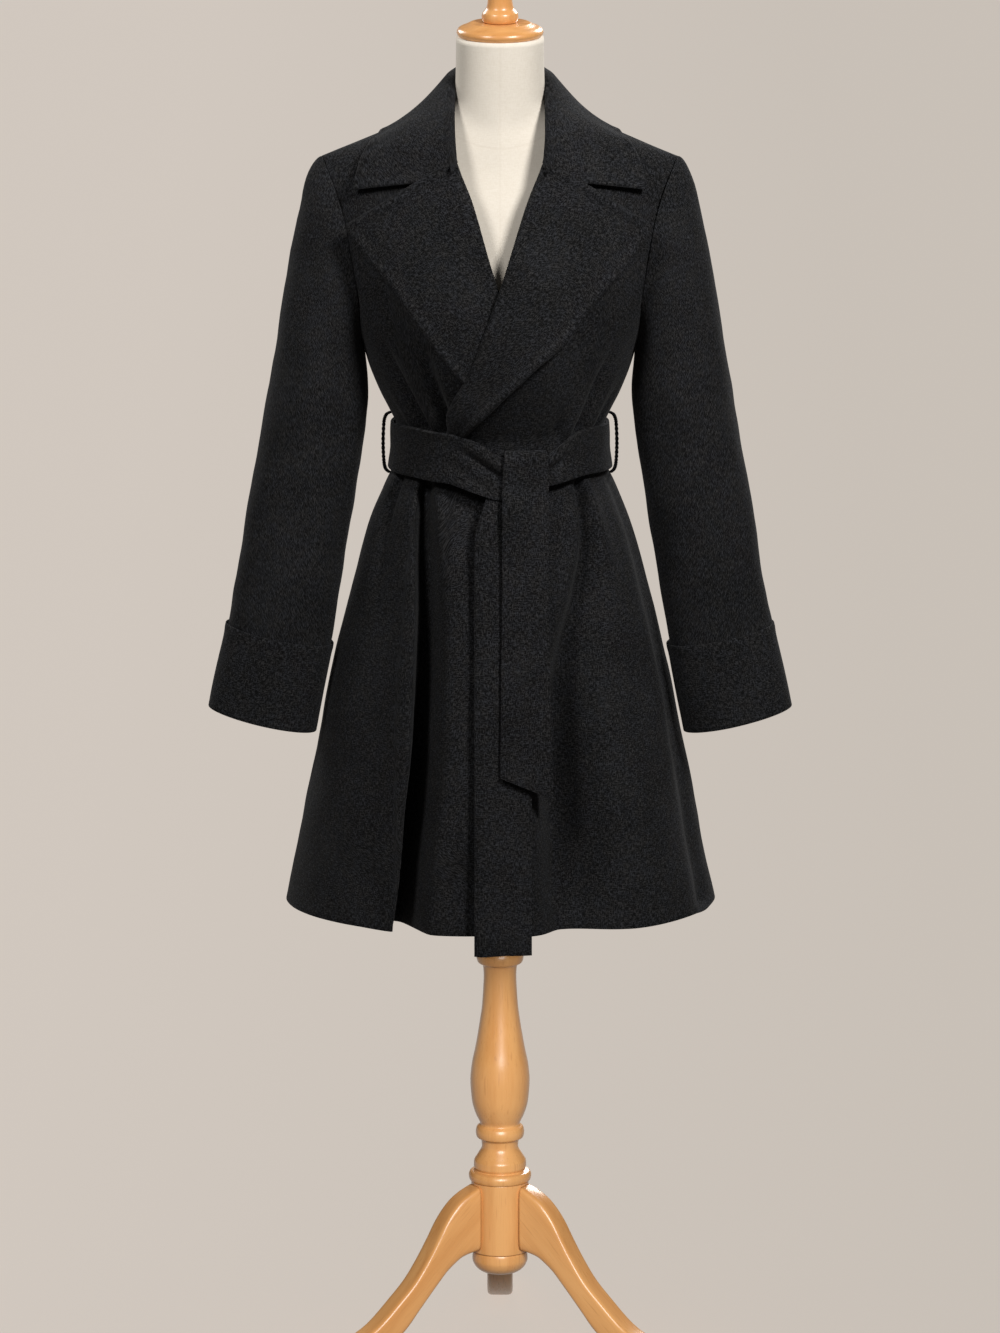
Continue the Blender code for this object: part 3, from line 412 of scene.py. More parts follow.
coat = Piece(
    wall=0.0028,
    lay=0.0019,
    seam=0.0003,
    hemZ=0.502,
    waistZ=1.000,
    underarm=13,
    shoulder=19,
    shoulderEase=0.0006,
    neckX=0.067,
    neckDip=1.0,
    neckY=0.0065,
    sections=rowsOf(sectionRow,  # each meets the side seam or armhole at sideX, sideZ
        (0.502, 0.23, 0.23, 0.171, 0.168, 0.502), (0.589, 0.213, 0.213, 0.16, 0.158, 0.589),
        (0.67, 0.197, 0.197, 0.149, 0.148, 0.67), (0.762, 0.1785, 0.1785, 0.136, 0.137, 0.762),
        (0.85, 0.157, 0.157, 0.123, 0.126, 0.85), (0.912, 0.1405, 0.1405, 0.112, 0.115, 0.912),
        (0.955, 0.1235, 0.1235, 0.102, 0.103, 0.955), (0.978, 0.1135, 0.1135, 0.0945, 0.092, 0.978),
        (1.0, 0.1105, 0.1105, 0.092, 0.0885, 1.0), (1.022, 0.1105, 0.1105, 0.0935, 0.0895, 1.022),
        (1.036, 0.1165, 0.1165, 0.098, 0.092, 1.036), (1.057, 0.127, 0.127, 0.105, 0.097, 1.057),
        (1.081, 0.137, 0.137, 0.112, 0.102, 1.081), (1.112, 0.147, 0.147, 0.118, 0.107, 1.112),
        (1.125, 0.1475, 0.152, 0.119, 0.109, 1.15), (1.16, 0.149, 0.163, 0.116, 0.112, 1.205),
        (1.209, 0.1565, 0.176, 0.105, 0.112, 1.275), (1.258, 0.166, 0.187, 0.082, 0.102, 1.34),
        (1.296, 0.18, 0.2, 0.048, 0.07, 1.376), (1.311, 0.1885, 0.205, 0.0, 0.0, 1.388),
    ),
    folds=rowsOf(foldRow,  # valleys by angle, 0 the wearer's left, 90 the back; a depth below 0 is a ridge
        (201, 217, 0.985, 0.82, 0.008, 0.0, 4.5, 4.5), (349, 344, 0.985, 0.502, 0.003, 0.009, 6.0, 7.0),
        (38, 42, 0.985, 0.502, 0.005, 0.024, 6.0, 8.0), (84, 80, 0.985, 0.502, 0.004, 0.018, 8.0, 6.5),
        (141, 134, 0.985, 0.502, 0.005, 0.022, 8.0, 6.0),
        (226, 213, 1.024, 1.135, 0.019, 0.0, 2.8, 3.6), (242, 236, 1.024, 1.14, 0.018, 0.0, 3.0, 3.4),
        (234, 225, 1.024, 1.11, -0.005, 0.0, 3.2, 3.2), (217, 206, 1.024, 1.09, -0.004, 0.0, 3.4, 3.4),
        (314.5, 325, 1.024, 1.125, 0.019, 0.0, 3.4, 2.8),
        (305.5, 313, 1.024, 1.095, -0.004, 0.0, 3.4, 3.2),
        (323, 333, 1.024, 1.1, -0.005, 0.0, 3.4, 3.4), (298, 302, 1.024, 1.08, 0.006, 0.0, 2.8, 3.0),
        (333, 341, 1.024, 1.08, 0.007, 0.0, 3.0, 3.2), (58, 62, 1.03, 1.09, 0.005, 0.0, 5.0, 5.0),
        (118, 114, 1.03, 1.1, 0.006, 0.0, 5.0, 5.0),
    ),
    deepFolds=[  # the two main folds in front, waist to hem; lean turns the push under the near side
        rowsOf(deepRow,
            (0.985, 225.5, 0.01, 3.8, 4.6, 24.0, 0.005), (0.944, 231.2, 0.017, 3.8, 5.0, 30.0, 0.01),
            (0.896, 236.4, 0.022, 3.7, 5.6, 30.0, 0.012), (0.815, 241.4, 0.03, 3.5, 6.2, 27.0, 0.012),
            (0.74, 243.4, 0.042, 3.3, 5.7, 26.0, 0.012), (0.663, 244.4, 0.054, 3.2, 5.5, 27.0, 0.011),
            (0.59, 244.4, 0.061, 3.0, 5.3, 30.0, 0.009), (0.502, 244.0, 0.06, 2.8, 5.0, 33.0, 0.006),
        ),
        rowsOf(deepRow,
            (0.985, 316.0, 0.008, 3.4, 2.6, 0.0, 0.003), (0.95, 315.0, 0.014, 3.6, 2.8, 0.0, 0.005),
            (0.911, 312.0, 0.017, 4.4, 3.6, 0.0, 0.006), (0.86, 304.5, 0.02, 5.6, 6.0, 0.0, 0.006),
            (0.814, 297.0, 0.025, 6.0, 9.0, 0.0, 0.006), (0.74, 290.5, 0.036, 6.0, 10.0, 0.0, 0.006),
            (0.662, 288.5, 0.045, 6.0, 10.5, 0.0, 0.006), (0.58, 288.0, 0.042, 6.0, 11.0, 0.0, 0.006),
            (0.502, 288.0, 0.031, 6.0, 12.0, 0.0, 0.005),
        ),
    ],
    squareness=[6.0, 2.0],  # how square each main fold is cut
    farCrest=(1.75, 0.8, 2.2),  # place and two widths of the swell beside a fold, in fold widths
    nearCrest=(1.6, 0.5, 2.4),
    nearShare=[0.8, 0.0],  # share of the rise on the near side
    beltCalm=(0.016, 0.018),  # no folds so near the waist, then a fade
    drift=(0.075, 3.1, 0.0009),  # size, seed, depth
    fineDrift=(0.024, 8.3, 0.0004),
    driftCalm=(0.02, 0.05),
    skirtDrift=0.0012,
    skirtRun=0.4,
    hemRise=-0.04,  # below 0 the hem hangs lower where it folds in
    hemFrom=0.64,
    hemRun=0.13,
    edgeRounds=14,
    insetFrom=1.020,  # from here up the fronts stop short of the lapel's roll
    insetRun=0.030,
    edges=rowsOf(edgeRow,  # inner edges of the two fronts
        (0.502, -0.01, -0.045), (0.9, -0.01, -0.045), (0.965, -0.014, -0.047), (0.985, -0.03, -0.05),
        (1.01, -0.047, -0.054), (1.036, -0.056, -0.056), (1.1, -0.031, -0.031), (1.187, 0.0, 0.0),
        (1.276, 0.03, 0.03), (1.318, 0.047, 0.047), (1.341, 0.053, 0.053), (1.3645, 0.067, 0.067),
    ),
    overlapTop=16,
    overlapAhead=1.6,
    lapelFrom=0.972,  # from here up the lower lapel lies between the fronts
    lapelRun=0.030,
    overlapEase=0.005,
    overlapRamp=0.060,
    overlapStep=0.0044,
    overlapSpare=0.0006,
    rowStep=0.0075,
    probe=(0.02, 0.4),  # rows and degrees to either side, for the way out of the cloth
)
woolPiece = Piece(  # side -1 puts the wall inside the drawn surface, 1 outside
    wall=coat.wall,
    side=-1.0,
    slot="wool",
    held="hung",
    restsOn=["form"],
)


@lru_cache(maxsize=None)
def ringAt(row):
    return sectionRow(*rowBetween(coat.sections, row, (0, 5)))  # both heights end level


def rowHeight(ring, x):
    return ring.sideZ + (ring.centreZ - ring.sideZ) * (1 - min(abs(x) / ring.sideX, 1.0))


def calmAt(z, start, run):  # 0 under the belt, 1 clear of it
    return ease((abs(z - coat.waistZ) - start) / run)


def foldDepth(angle, z):
    depth = 0.0
    for fold in coat.folds:
        run = (z - fold.topZ) / (fold.lowZ - fold.topZ)
        if not 0.0 <= run <= 1.0:
            continue
        off = swing(angle - (fold.topAngle + (fold.lowAngle - fold.topAngle) * run))
        wide = fold.before if off < 0 else fold.after
        depth += (fold.topDepth + (fold.lowDepth - fold.topDepth) * run) * hump(off, wide)
    return depth * calmAt(z, *coat.beltCalm)


@lru_cache(maxsize=None)
def deepAt(k, z):
    return tableRow(coat.deepFolds[k], z)


def crestAt(off, wide, shape):  # the cloth swells out beside a main fold
    away, inner, outer = shape
    gap = off - away * wide
    return hump(gap, (inner if gap < 0 else outer) * wide)


def deepPush(angle, z, outward):  # how far the main folds carry a point, and which way
    push = Vector((0.0, 0.0, 0.0))
    calm = calmAt(z, *coat.beltCalm)
    for k, table in enumerate(coat.deepFolds):
        if z > table[0].z:
            continue
        line, depth, before, after, lean, rise = deepAt(k, round(z, 4))
        off = swing(angle - line)
        wide = before if off < 0 else after
        crest = rise * crestAt(off, after, coat.farCrest)
        crest += coat.nearShare[k] * rise * crestAt(-off, before, coat.nearCrest)
        amount = calm * (depth * math.exp(-(abs(off) / wide) ** coat.squareness[k]) - crest)
        c, s = cosSin(lean)
        push -= Vector((outward.x * c - outward.y * s, outward.x * s + outward.y * c, 0.0)) * amount
    return push


def ringSpot(ring, angle, z=None):  # a point of a section and the level way out of it
    c, s = cosSin(angle)
    deep = ring.back if s > 0 else ring.front
    x = ring.ringX * c
    height = rowHeight(ring, x) if z is None else z
    return Vector((x, deep * s, height)), Vector((c * deep, s * ring.ringX, 0.0))


def bodyPoint(row, angle):
    point, outward = ringSpot(ringAt(row), angle)
    if outward.length > 0.0:
        outward.normalize()
        push = deepPush(angle, point.z, outward) - outward * foldDepth(angle, point.z)
        point += push
        point.z += push.length * coat.hemRise * ease((coat.hemFrom - point.z) / coat.hemRun)
    return point


def overlapLift(x, z):  # the upper front passes over the lower one and its lapel
    if z > coat.sections[coat.overlapTop].centreZ:
        return 0.0
    layers = 1.0 + ease((z - coat.lapelFrom) / coat.lapelRun)
    under = -tableAt(coat.edges, "z", "lower", z)
    ramp = ease((under + coat.overlapEase + coat.overlapRamp - x) / coat.overlapRamp)
    return (coat.overlapStep * layers + coat.overlapSpare) * ramp


def barePoint(side, row, theta):
    point = bodyPoint(row, 360.0 - theta if side > 0 else 180.0 + theta)
    if side > 0:
        away = Vector((point.x, point.y * coat.overlapAhead, 0.0)).normalized()
        point += away * overlapLift(point.x, point.z)
    return point


def panelFrame(side, row, theta):  # a point on a front, the way out of it and the way to its edge
    step, turn = coat.probe
    above, below = min(row + step, coat.shoulder), max(row - step, 0.0)
    up = barePoint(side, above, theta) - barePoint(side, below, theta)
    across = barePoint(side, row, theta + turn) - barePoint(side, row, theta - turn)
    normal = across.cross(up) if side < 0 else up.cross(across)
    return barePoint(side, row, theta), normal.normalized(), across.normalized()


def frontPoint(side, row, theta, lift):
    point, out, _ = panelFrame(side, row, theta)
    return point + out * lift


@lru_cache(maxsize=None)
def sideTheta(row):
    ring = ringAt(row)
    return math.degrees(math.acos(min(ring.sideX / ring.ringX, 1.0)))


def thetaAtX(row, x):
    return math.degrees(math.acos(max(min(x / ringAt(row).ringX, 1.0), -1.0)))


def tracedTheta(side, row, table, x, inset=0.0):  # where a drawn edge crosses a row
    ring = ringAt(row)
    for _ in range(coat.edgeRounds):
        z = rowHeight(ring, x)
        x = tableAt(table, "z", "upper" if side > 0 else "lower", z)
        x += inset * ease((z - coat.insetFrom) / coat.insetRun)
    return thetaAtX(row, x)


@lru_cache(maxsize=None)
def edgeTheta(side, row, inset=0.0):
    return tracedTheta(side, row, coat.edges, 0.0, inset)


def denseRows(first, last, step):
    rows = []
    for k in range(first, last):
        a, b = coat.sections[k], coat.sections[k + 1]
        rise = math.hypot(b.centreZ - a.centreZ, b.front - a.front, b.sideX - a.sideX)
        count = max(1, math.ceil(rise / step))
        rows += [k + m / count for m in range(count)]
    return rows + [float(last)]


def seamShare(row):
    return coat.seam / 2 + coat.shoulderEase * ease(row - coat.shoulder + 1.0)


def bodyDrift(i, j, p):  # the cloth is never quite even
    size, seed, deep = coat.drift
    low = ease((coat.waistZ - p.z) / coat.skirtRun)
    broad = wobble(p, size, seed, deep + coat.skirtDrift * low)
    return calmAt(p.z, *coat.driftCalm) * (broad + wobble(p, *coat.fineDrift))


def rimmed(shares, rim):  # a narrow strip at either edge keeps the rim crisp
    return [0.0, rim] + shares + [1.0 - rim, 1.0]


frontLeft = Piece(
    woolPiece,
    cut=(0.35, 0.98, 0.21),
    columns=84,
    guideWaist=47.0,
    guideHem=64.0,
    crowding=0.55,
    rollInset=0.0063,
    rimShare=0.006,
)
frontRight = Piece(frontLeft, cut=(0.47, 0.95, 0.26))


def frontTheta(side, row, share, piece):
    run = (coat.waistZ - ringAt(row).sideZ) / (coat.waistZ - coat.hemZ)
    guide = piece.guideWaist + (piece.guideHem - piece.guideWaist) * min(max(run, 0.0), 1.0)
    start, end = sideTheta(row), edgeTheta(side, row, piece.rollInset)
    if share < 0.5:
        return start + (guide - start) * share / 0.5
    return guide + (end - guide) * (share - 0.5) / 0.5


def makeFront(name, side, piece):
    count = piece.columns
    crowd = piece.crowding / (2 * math.pi)
    shares = [j / count for j in range(1, count)]
    shares = [s - crowd * math.sin(2 * math.pi * (s - 0.5)) for s in shares]
    shares = rimmed(shares, piece.rimShare)
    rows = []
    for row in denseRows(0, coat.shoulder, coat.rowStep):
        shift = Vector((0.0, seamShare(row), 0.0))
        rows.append([barePoint(side, row, frontTheta(side, row, s, piece)) - shift for s in shares])
    clothPiece(name, relief(rows, bodyDrift, flip=side > 0), wool, piece, flip=side > 0)


backPanel = Piece(
    woolPiece,
    cut=(0.65, 0.945, 0.40),
    columns=84,
    rimShare=0.004,
)


def neckRow(x):
    return coat.shoulder - coat.neckDip * (1.0 - min(abs(x) / coat.neckX, 1.0) ** 2)


def backPoint(row, share):
    start = sideTheta(row)
    return bodyPoint(row, start + (180.0 - 2 * start) * share)


def makeBack(name, piece):
    count = piece.columns
    shares = rimmed([j / count for j in range(1, count)], piece.rimShare)
    underarm, shoulder = coat.underarm, coat.shoulder
    rows = []
    for row in denseRows(0, shoulder, coat.rowStep):
        points = []
        for share in shares:
            here = row
            if row > underarm:
                top = neckRow(backPoint(shoulder, share).x)
                here = underarm + (row - underarm) / (shoulder - underarm) * (top - underarm)
            points.append(backPoint(here, share) + Vector((0.0, seamShare(row), 0.0)))
        rows.append(points)
    clothPiece(name, relief(rows, bodyDrift), wool, piece)


makeBack("back", backPanel)
makeFront("front_left", 1, frontLeft)
makeFront("front_right", -1, frontRight)
print("body panels made")

# lapels, rolled round the fronts' edges

lapelLeft = Piece(
    woolPiece,
    wall=0.0030,
    side=1.0,
    held="folded",
    restsOn=["front_left"],
    cut=(0.145, 0.34, 0.028),
    edge=rowsOf(edgeRow,
        (1.022, -0.038, -0.038), (1.042, -0.027, -0.012), (1.074, -0.002, 0.021), (1.109, 0.031, 0.05),
        (1.145, 0.07, 0.076), (1.179, 0.0975, 0.0995), (1.213, 0.1275, 0.1275), (1.2425, 0.1495, 0.152),
    ),
    beltRow=9,
    gorgeRow=17.0,
    tipRow=16.63,
    columns=26,
    tipRound=0.005,
    rollThin=0.0009,
    rollFull=0.0033,
    rollFrom=0.06,  # share of the length where the roll begins to fill out
    leanFrom=0.04,  # and where the outer edge begins to lift
    standOff=0.0068,  # how far the outer edge lifts off the front
    bead=0.0034,
    beadIn=0.0030,
    beadWide=0.0032,
    rowStep=0.007,
    tipSteps=[0.965, 0.975, 0.984, 0.990, 0.995, 1.0],
    rollTurns=(-40, -10, 20, 45, 70, 90),
    rollRun=0.2,
    leanRun=0.25,
    leanPower=1.3,
    layRise=4,
    leastWide=0.02,
    drift=(0.06, 5.7, 0.0008),
)
lapelRight = Piece(lapelLeft, restsOn=["front_right"], rollFrom=0.74, leanFrom=0.30)


def gorgeRowAt(share):
    return lapelLeft.gorgeRow + (lapelLeft.tipRow - lapelLeft.gorgeRow) * share


@lru_cache(maxsize=None)
def lapelTheta(side, row):
    return tracedTheta(side, row, lapelLeft.edge, coat.neckX)


def cornerInset(gap, radius):  # how far a rounded corner pulls in, by distance from the tip
    if gap >= radius:
        return 0.0
    return radius - math.sqrt(max(radius * radius - (radius - gap) ** 2, 0.0))


def makeLapel(name, side, piece):
    low, top = piece.beltRow, piece.gorgeRow
    steps = [(row - low) / (top - low) for row in denseRows(low, int(top), piece.rowStep)]
    steps = [f for f in steps if f < piece.tipSteps[0]] + piece.tipSteps
    inset = frontLeft.rollInset
    turns = [cosSin(a) for a in piece.rollTurns]

    def spot(f, share, lift):
        row = low + (gorgeRowAt(share) - low) * f
        start, end = edgeTheta(1, row, inset), lapelTheta(side, row)
        return frontPoint(side, row, start + (end - start) * share, lift)

    outer = [spot(f, 1.0, 0.0) for f in steps]
    gaps = lengthsAlong(outer[::-1])[::-1]  # distance of each row from the tip
    rows = []
    for f, gap in zip(steps, gaps):
        row = low + (gorgeRowAt(0.0) - low) * f
        edge, out, past = panelFrame(side, row, edgeTheta(1, row, inset))
        core = edge - out * coat.wall / 2
        fill = ease((f - piece.rollFrom) / piece.rollRun)
        radius = coat.wall / 2 + piece.rollThin + (piece.rollFull - piece.rollThin) * fill
        points = [core + (past * c + out * s) * radius for c, s in turns]
        wide = (spot(f, 1.0, 0.0) - edge).length
        reach = 1.0 - cornerInset(gap, piece.tipRound) / max(wide, piece.leastWide)
        free = ease((f - piece.leanFrom) / piece.leanRun)
        lean = piece.standOff * free
        for j in range(1, piece.columns + 1):
            share = reach * (j / piece.columns)
            lift = radius - coat.wall / 2 + coat.lay * ease(piece.layRise * share)
            lift += lean * share ** piece.leanPower
            near = min((reach - share) * wide, gap)  # distance from the nearest edge
            bead = piece.bead * free * hump(near - piece.beadIn, piece.beadWide)
            points.append(spot(f, share, lift + bead))
        rows.append(points)
    rows = relief(rows, lambda i, j, p: wobble(p, *piece.drift), flip=side < 0)
    clothPiece(name, rows, wool, piece, flip=side < 0)


makeLapel("lapel_left", 1, lapelLeft)
makeLapel("lapel_right", -1, lapelRight)
print("lapels made")

# collar

collarRow = namedtuple("collarRow", "rollX rollY rollZ edgeX edgeY edgeZ sag")

collarPiece = Piece(
    woolPiece,
    wall=0.0032,
    side=0.0,
    held="folded",
    restsOn=["back", "front_left", "front_right"],
    cut=(0.55, 0.15, 0.057),
    sections=rowsOf(collarRow,  # front end round to the centre back
        (0.0468, -0.087, 1.3138, 0.155, -0.062, 1.287, 0.0),
        (0.05, -0.058, 1.352, 0.148, -0.044, 1.312, 0.0),
        (0.05, -0.022, 1.377, 0.136, -0.022, 1.331, 0.002),
        (0.05, 0.008, 1.3935, 0.124, 0.004, 1.342, 0.005),
        (0.0425, 0.039, 1.399, 0.108, 0.062, 1.332, 0.005),
        (0.024, 0.056, 1.403, 0.062, 0.098, 1.324, 0.005), (0.0, 0.0615, 1.404, 0.0, 0.11, 1.32, 0.005),
    ),
    shoulderAt=3,
    notchShare=0.23,
    gorgeShare=0.24,
    gorgeGap=-0.06,  # below 0 the collar's front end runs down under the lapel's
    steps=44,
    standSteps=5,
    fallSteps=28,
    lift=0.0010,
    frontLift=0.0035,
    edgeStand=0.0050,
    rollRise=0.0045,
    rollInside=0.0012,
    rollOutside=0.0085,
    rollDrop=0.0040,
    tipRound=0.004,
    leastWide=0.02,
    standTo=2.6,  # the edge stands off the shoulder up to this section
    liftTo=1.4,
    rollSteps=6,
    endStops=[0.0, 0.015, 0.035, 0.06, 0.09],
    bead=0.0018,
    beadIn=0.0030,
    beadWide=0.0034,
    beadPlain=0.25,  # share of the bead away from the front ends
    beadFrom=0.075,
    beadRun=0.03,
    drift=(0.05, 1.9, 0.0007),
)


@lru_cache(maxsize=None)
def yokeLine(x):  # front to back line of the cloth over the shoulder
    underarm, shoulder = coat.underarm, coat.shoulder
    rows = [underarm + 0.5 * k for k in range(2 * (shoulder - underarm) + 1)]
    line = []
    for face in (-1, 1):
        half = []
        for row in rows:
            ring = ringAt(row)
            if abs(x) > ring.ringX:
                continue
            deep = ring.front if face < 0 else ring.back
            half.append((face * deep * math.sqrt(1 - (x / ring.ringX) ** 2), rowHeight(ring, x)))
        line += half if face < 0 else half[-2::-1]
    return line


def seated(point, lift, always):  # lifts a point to stand clear of the shoulder cloth
    line = yokeLine(round(point.x, 5))
    best = None
    for (y0, z0), (y1, z1) in zip(line, line[1:]):
        dy, dz = y1 - y0, z1 - z0
        run = dy * dy + dz * dz
        if run == 0.0:
            continue
        t = min(max(((point.y - y0) * dy + (point.z - z0) * dz) / run, 0.0), 1.0)
        gap = math.hypot(point.y - y0 - t * dy, point.z - z0 - t * dz)
        if best is None or gap < best[0]:
            out = Vector((0.0, -dz, dy)).normalized()
            side = (point.y - y0) * out.y + (point.z - z0) * out.z
            best = (gap, math.copysign(1.0, side), out)
    gap = best[0] * best[1]
    if always or gap < lift:
        return point + best[2] * (lift - gap)
    return point


def neckSeam(turn):  # 0 at the front end, 1 at the shoulder seam, 2 at the centre back
    if turn <= 1.0:
        row = lapelLeft.gorgeRow + (coat.shoulder - lapelLeft.gorgeRow) * turn
        theta = edgeTheta(1, row)
        edge = barePoint(1, row, theta)
        past = barePoint(1, row, theta + 1.0) - edge
    else:
        x = coat.neckX * (2.0 - turn)
        row = neckRow(x)
        edge = bodyPoint(row, thetaAtX(row, x))
        past = Vector((-edge.x, coat.neckY - edge.y, edge.to_2d().length))
    return edge + past.normalized() * (3 * coat.seam + coat.wall / 2)


def gorgePoint(share, lift):
    row = gorgeRowAt(share) + collarPiece.gorgeGap
    start, end = edgeTheta(1, row), lapelTheta(1, row)
    return frontPoint(1, row, start + (end - start) * share, lift)


def collarSection(at, inset):
    piece = collarPiece
    table = piece.sections
    row = collarRow(*rowBetween(table, at))
    turn = at / piece.shoulderAt
    if turn > 1.0:
        turn = 1.0 + (at - piece.shoulderAt) / (len(table) - 1 - piece.shoulderAt)
    roll = Vector((row.rollX, row.rollY, row.rollZ))
    seam = neckSeam(turn)
    stand = piece.edgeStand * ease(piece.standTo - at)
    laid = piece.lift + piece.frontLift * ease(piece.liftTo - at)
    edge = seated(Vector((row.edgeX, row.edgeY, row.edgeZ)), laid + stand, True)
    inward = Vector((-roll.x, coat.neckY - roll.y, 0.0)).normalized()
    drop = Vector((0.0, 0.0, piece.rollDrop))
    inside = roll + inward * piece.rollInside - drop
    fall = roll - inward * piece.rollOutside - drop
    crown = roll * 2 - (inside + fall) / 2
    points = [seam.lerp(inside, k / piece.standSteps) for k in range(piece.standSteps)]
    for k in range(piece.rollSteps):
        t = k / piece.rollSteps
        points.append(inside * (1 - t) ** 2 + crown * (2 * t * (1 - t)) + fall * t * t)
    notch = gorgePoint(piece.notchShare, laid)
    front = ease(1.0 - at)
    reach = 1.0 - inset / max((edge - fall).length, piece.leastWide)
    for k in range(piece.fallSteps + 1):
        u = reach * k / piece.fallSteps
        straight = fall.lerp(edge, u) - Vector((0.0, 0.0, row.sag * 4 * u * (1 - u)))
        if u < piece.gorgeShare:
            bent = gorgePoint(piece.notchShare * u / piece.gorgeShare, laid)
        else:
            bent = notch.lerp(edge, (u - piece.gorgeShare) / (1 - piece.gorgeShare))
        point = straight.lerp(bent, front)
        lift = laid + piece.rollRise * (1 - u) ** 3 + stand * u ** 2
        points.append(fall if k == 0 else seated(point, lift, False))
    return points


def makeCollar(name, piece):
    last = len(piece.sections) - 1
    stops = piece.endStops + [last * k / piece.steps for k in range(1, piece.steps + 1)]
    gaps = lengthsAlong([collarSection(at, 0.0)[-1] for at in stops])
    half = [collarSection(at, cornerInset(gap, piece.tipRound)) for at, gap in zip(stops, gaps)]
    rows = half + [[mirrored(p, -1) for p in section] for section in half[-2::-1]]
    depth = len(rows[0])

    def soft(i, j, p):
        edge = (rows[i][-1] - p).length
        ends = min(i, len(rows) - 1 - i)
        tip = gaps[min(ends, len(gaps) - 1)]
        near = min(edge, tip if j > depth * 0.5 else edge)
        plain = piece.beadPlain
        bead = piece.bead * (plain + (1.0 - plain) * ease((piece.beadFrom - tip) / piece.beadRun))
        return bead * hump(near - piece.beadIn, piece.beadWide) + wobble(p, *piece.drift)

    clothPiece(name, relief(rows, soft), wool, piece)


makeCollar("collar", collarPiece)
print("collar made")

# sleeves and cuffs

armRow = namedtuple("armRow", "x y z across deep tilt")
headRow = namedtuple("headRow", "out fore down reach")
creaseRow = namedtuple("creaseRow", "psi at wide tall depth slant")

sleevePiece = Piece(
    woolPiece,
    cut=(0.50, 0.61, 0.172),
    rings=rowsOf(armRow,
        (0.193, -0.003, 1.054, 0.054, 0.06, 11.5), (0.2035, -0.008, 0.986, 0.0555, 0.056, 10.5),
        (0.2165, -0.012, 0.91, 0.0558, 0.05, 10.5), (0.2275, -0.016, 0.842, 0.0558, 0.046, 11.0),
        (0.235, -0.018, 0.798, 0.0558, 0.043, 11.5), (0.2445, -0.02, 0.752, 0.0563, 0.041, 12.5),
        (0.254, -0.022, 0.706, 0.0568, 0.039, 13.5),
    ),
    headTop=headRow(0.98, 0.00, 0.20, 0.070),
    headSide=headRow(0.85, 0.25, 0.45, 0.060),
    headUnder=headRow(-0.16, 0.00, 1.00, 0.040),
    capLanding=0.230,
    underLanding=0.060,
    gap=0.0006,
    columns=60,
    capSteps=26,
    capReach=0.95,
    capPower=1.25,
    calmHead=0.12,
    calmWrist=(0.86, 0.10),
    drift=(0.06, 0.0022),  # size, depth
    fineDrift=(0.022, 0.0005),
    seeds={1: 2.3, -1: 6.9},
    slants={1: 1.0, -1: 0.7},
    ringSteps=9,
    creases=rowsOf(creaseRow,  # psi 0 is the outer edge, 90 the front; at runs from armhole to wrist
        (118, 0.36, 20, 0.1, 0.003, 150), (70, 0.52, 18, 0.16, 0.0018, -60),
        (150, 0.56, 22, 0.08, 0.0026, 130), (205, 0.47, 24, 0.1, 0.003, 110),
        (250, 0.4, 20, 0.12, 0.0024, -120), (300, 0.62, 18, 0.14, 0.0016, 70),
        (40, 0.24, 16, 0.12, 0.0016, 60),
    ),
)


def heading(psi):
    turn = abs(swing(psi))
    if turn <= 90.0:
        a, b, t = sleevePiece.headTop, sleevePiece.headSide, ease(turn / 90.0)
    else:
        a, b, t = sleevePiece.headSide, sleevePiece.headUnder, ease((turn - 90.0) / 90.0)
    out, fore, down, reach = [p + (q - p) * t for p, q in zip(a, b)]
    face = -1.0 if psi % 360.0 < 180.0 else 1.0
    return Vector((out, face * fore, -down)).normalized(), reach


def armholePoint(psi):
    turn = abs(swing(psi))
    row = coat.shoulder - (coat.shoulder - coat.underarm) * turn / 180.0
    theta = sideTheta(row)
    return bodyPoint(row, -theta if psi % 360.0 < 180.0 else theta)


def armPoint(ring, psi, grow=0.0):
    c, s = cosSin(psi)
    level, climb = cosSin(ring.tilt)
    across = (ring.across + grow) * c
    return Vector((ring.x + across * level, ring.y - (ring.deep + grow) * s, ring.z + across * climb))


def armRing(at):
    return armRow(*rowBetween(sleevePiece.rings, at))


def armTurns():
    return [360.0 * j / sleevePiece.columns for j in range(sleevePiece.columns)]


def sleeveGrid():
    piece = sleevePiece
    psis = armTurns()
    first, second = piece.rings[0], piece.rings[1]
    rows = []
    for k in range(piece.capSteps):
        t = piece.capReach * (k / piece.capSteps) ** piece.capPower
        points = []
        for psi in psis:
            leave, reach = heading(psi)
            start = armholePoint(psi) + leave * piece.gap
            land = armPoint(first, psi)
            under = (1 - math.cos(math.radians(psi))) / 2
            pull = piece.capLanding + (piece.underLanding - piece.capLanding) * under
            down = (armPoint(second, psi) - land).normalized() * pull
            point = start * ((1 + 2 * t) * (1 - t) ** 2) + leave * (reach * t * (1 - t) ** 2)
            points.append(point + land * (t * t * (3 - 2 * t)) + down * (t * t * (t - 1)))
        rows.append(points)
    count = (len(piece.rings) - 1) * piece.ringSteps
    for k in range(count + 1):
        ring = armRing(k / piece.ringSteps)
        rows.append([armPoint(ring, psi) for psi in psis])
    return rows


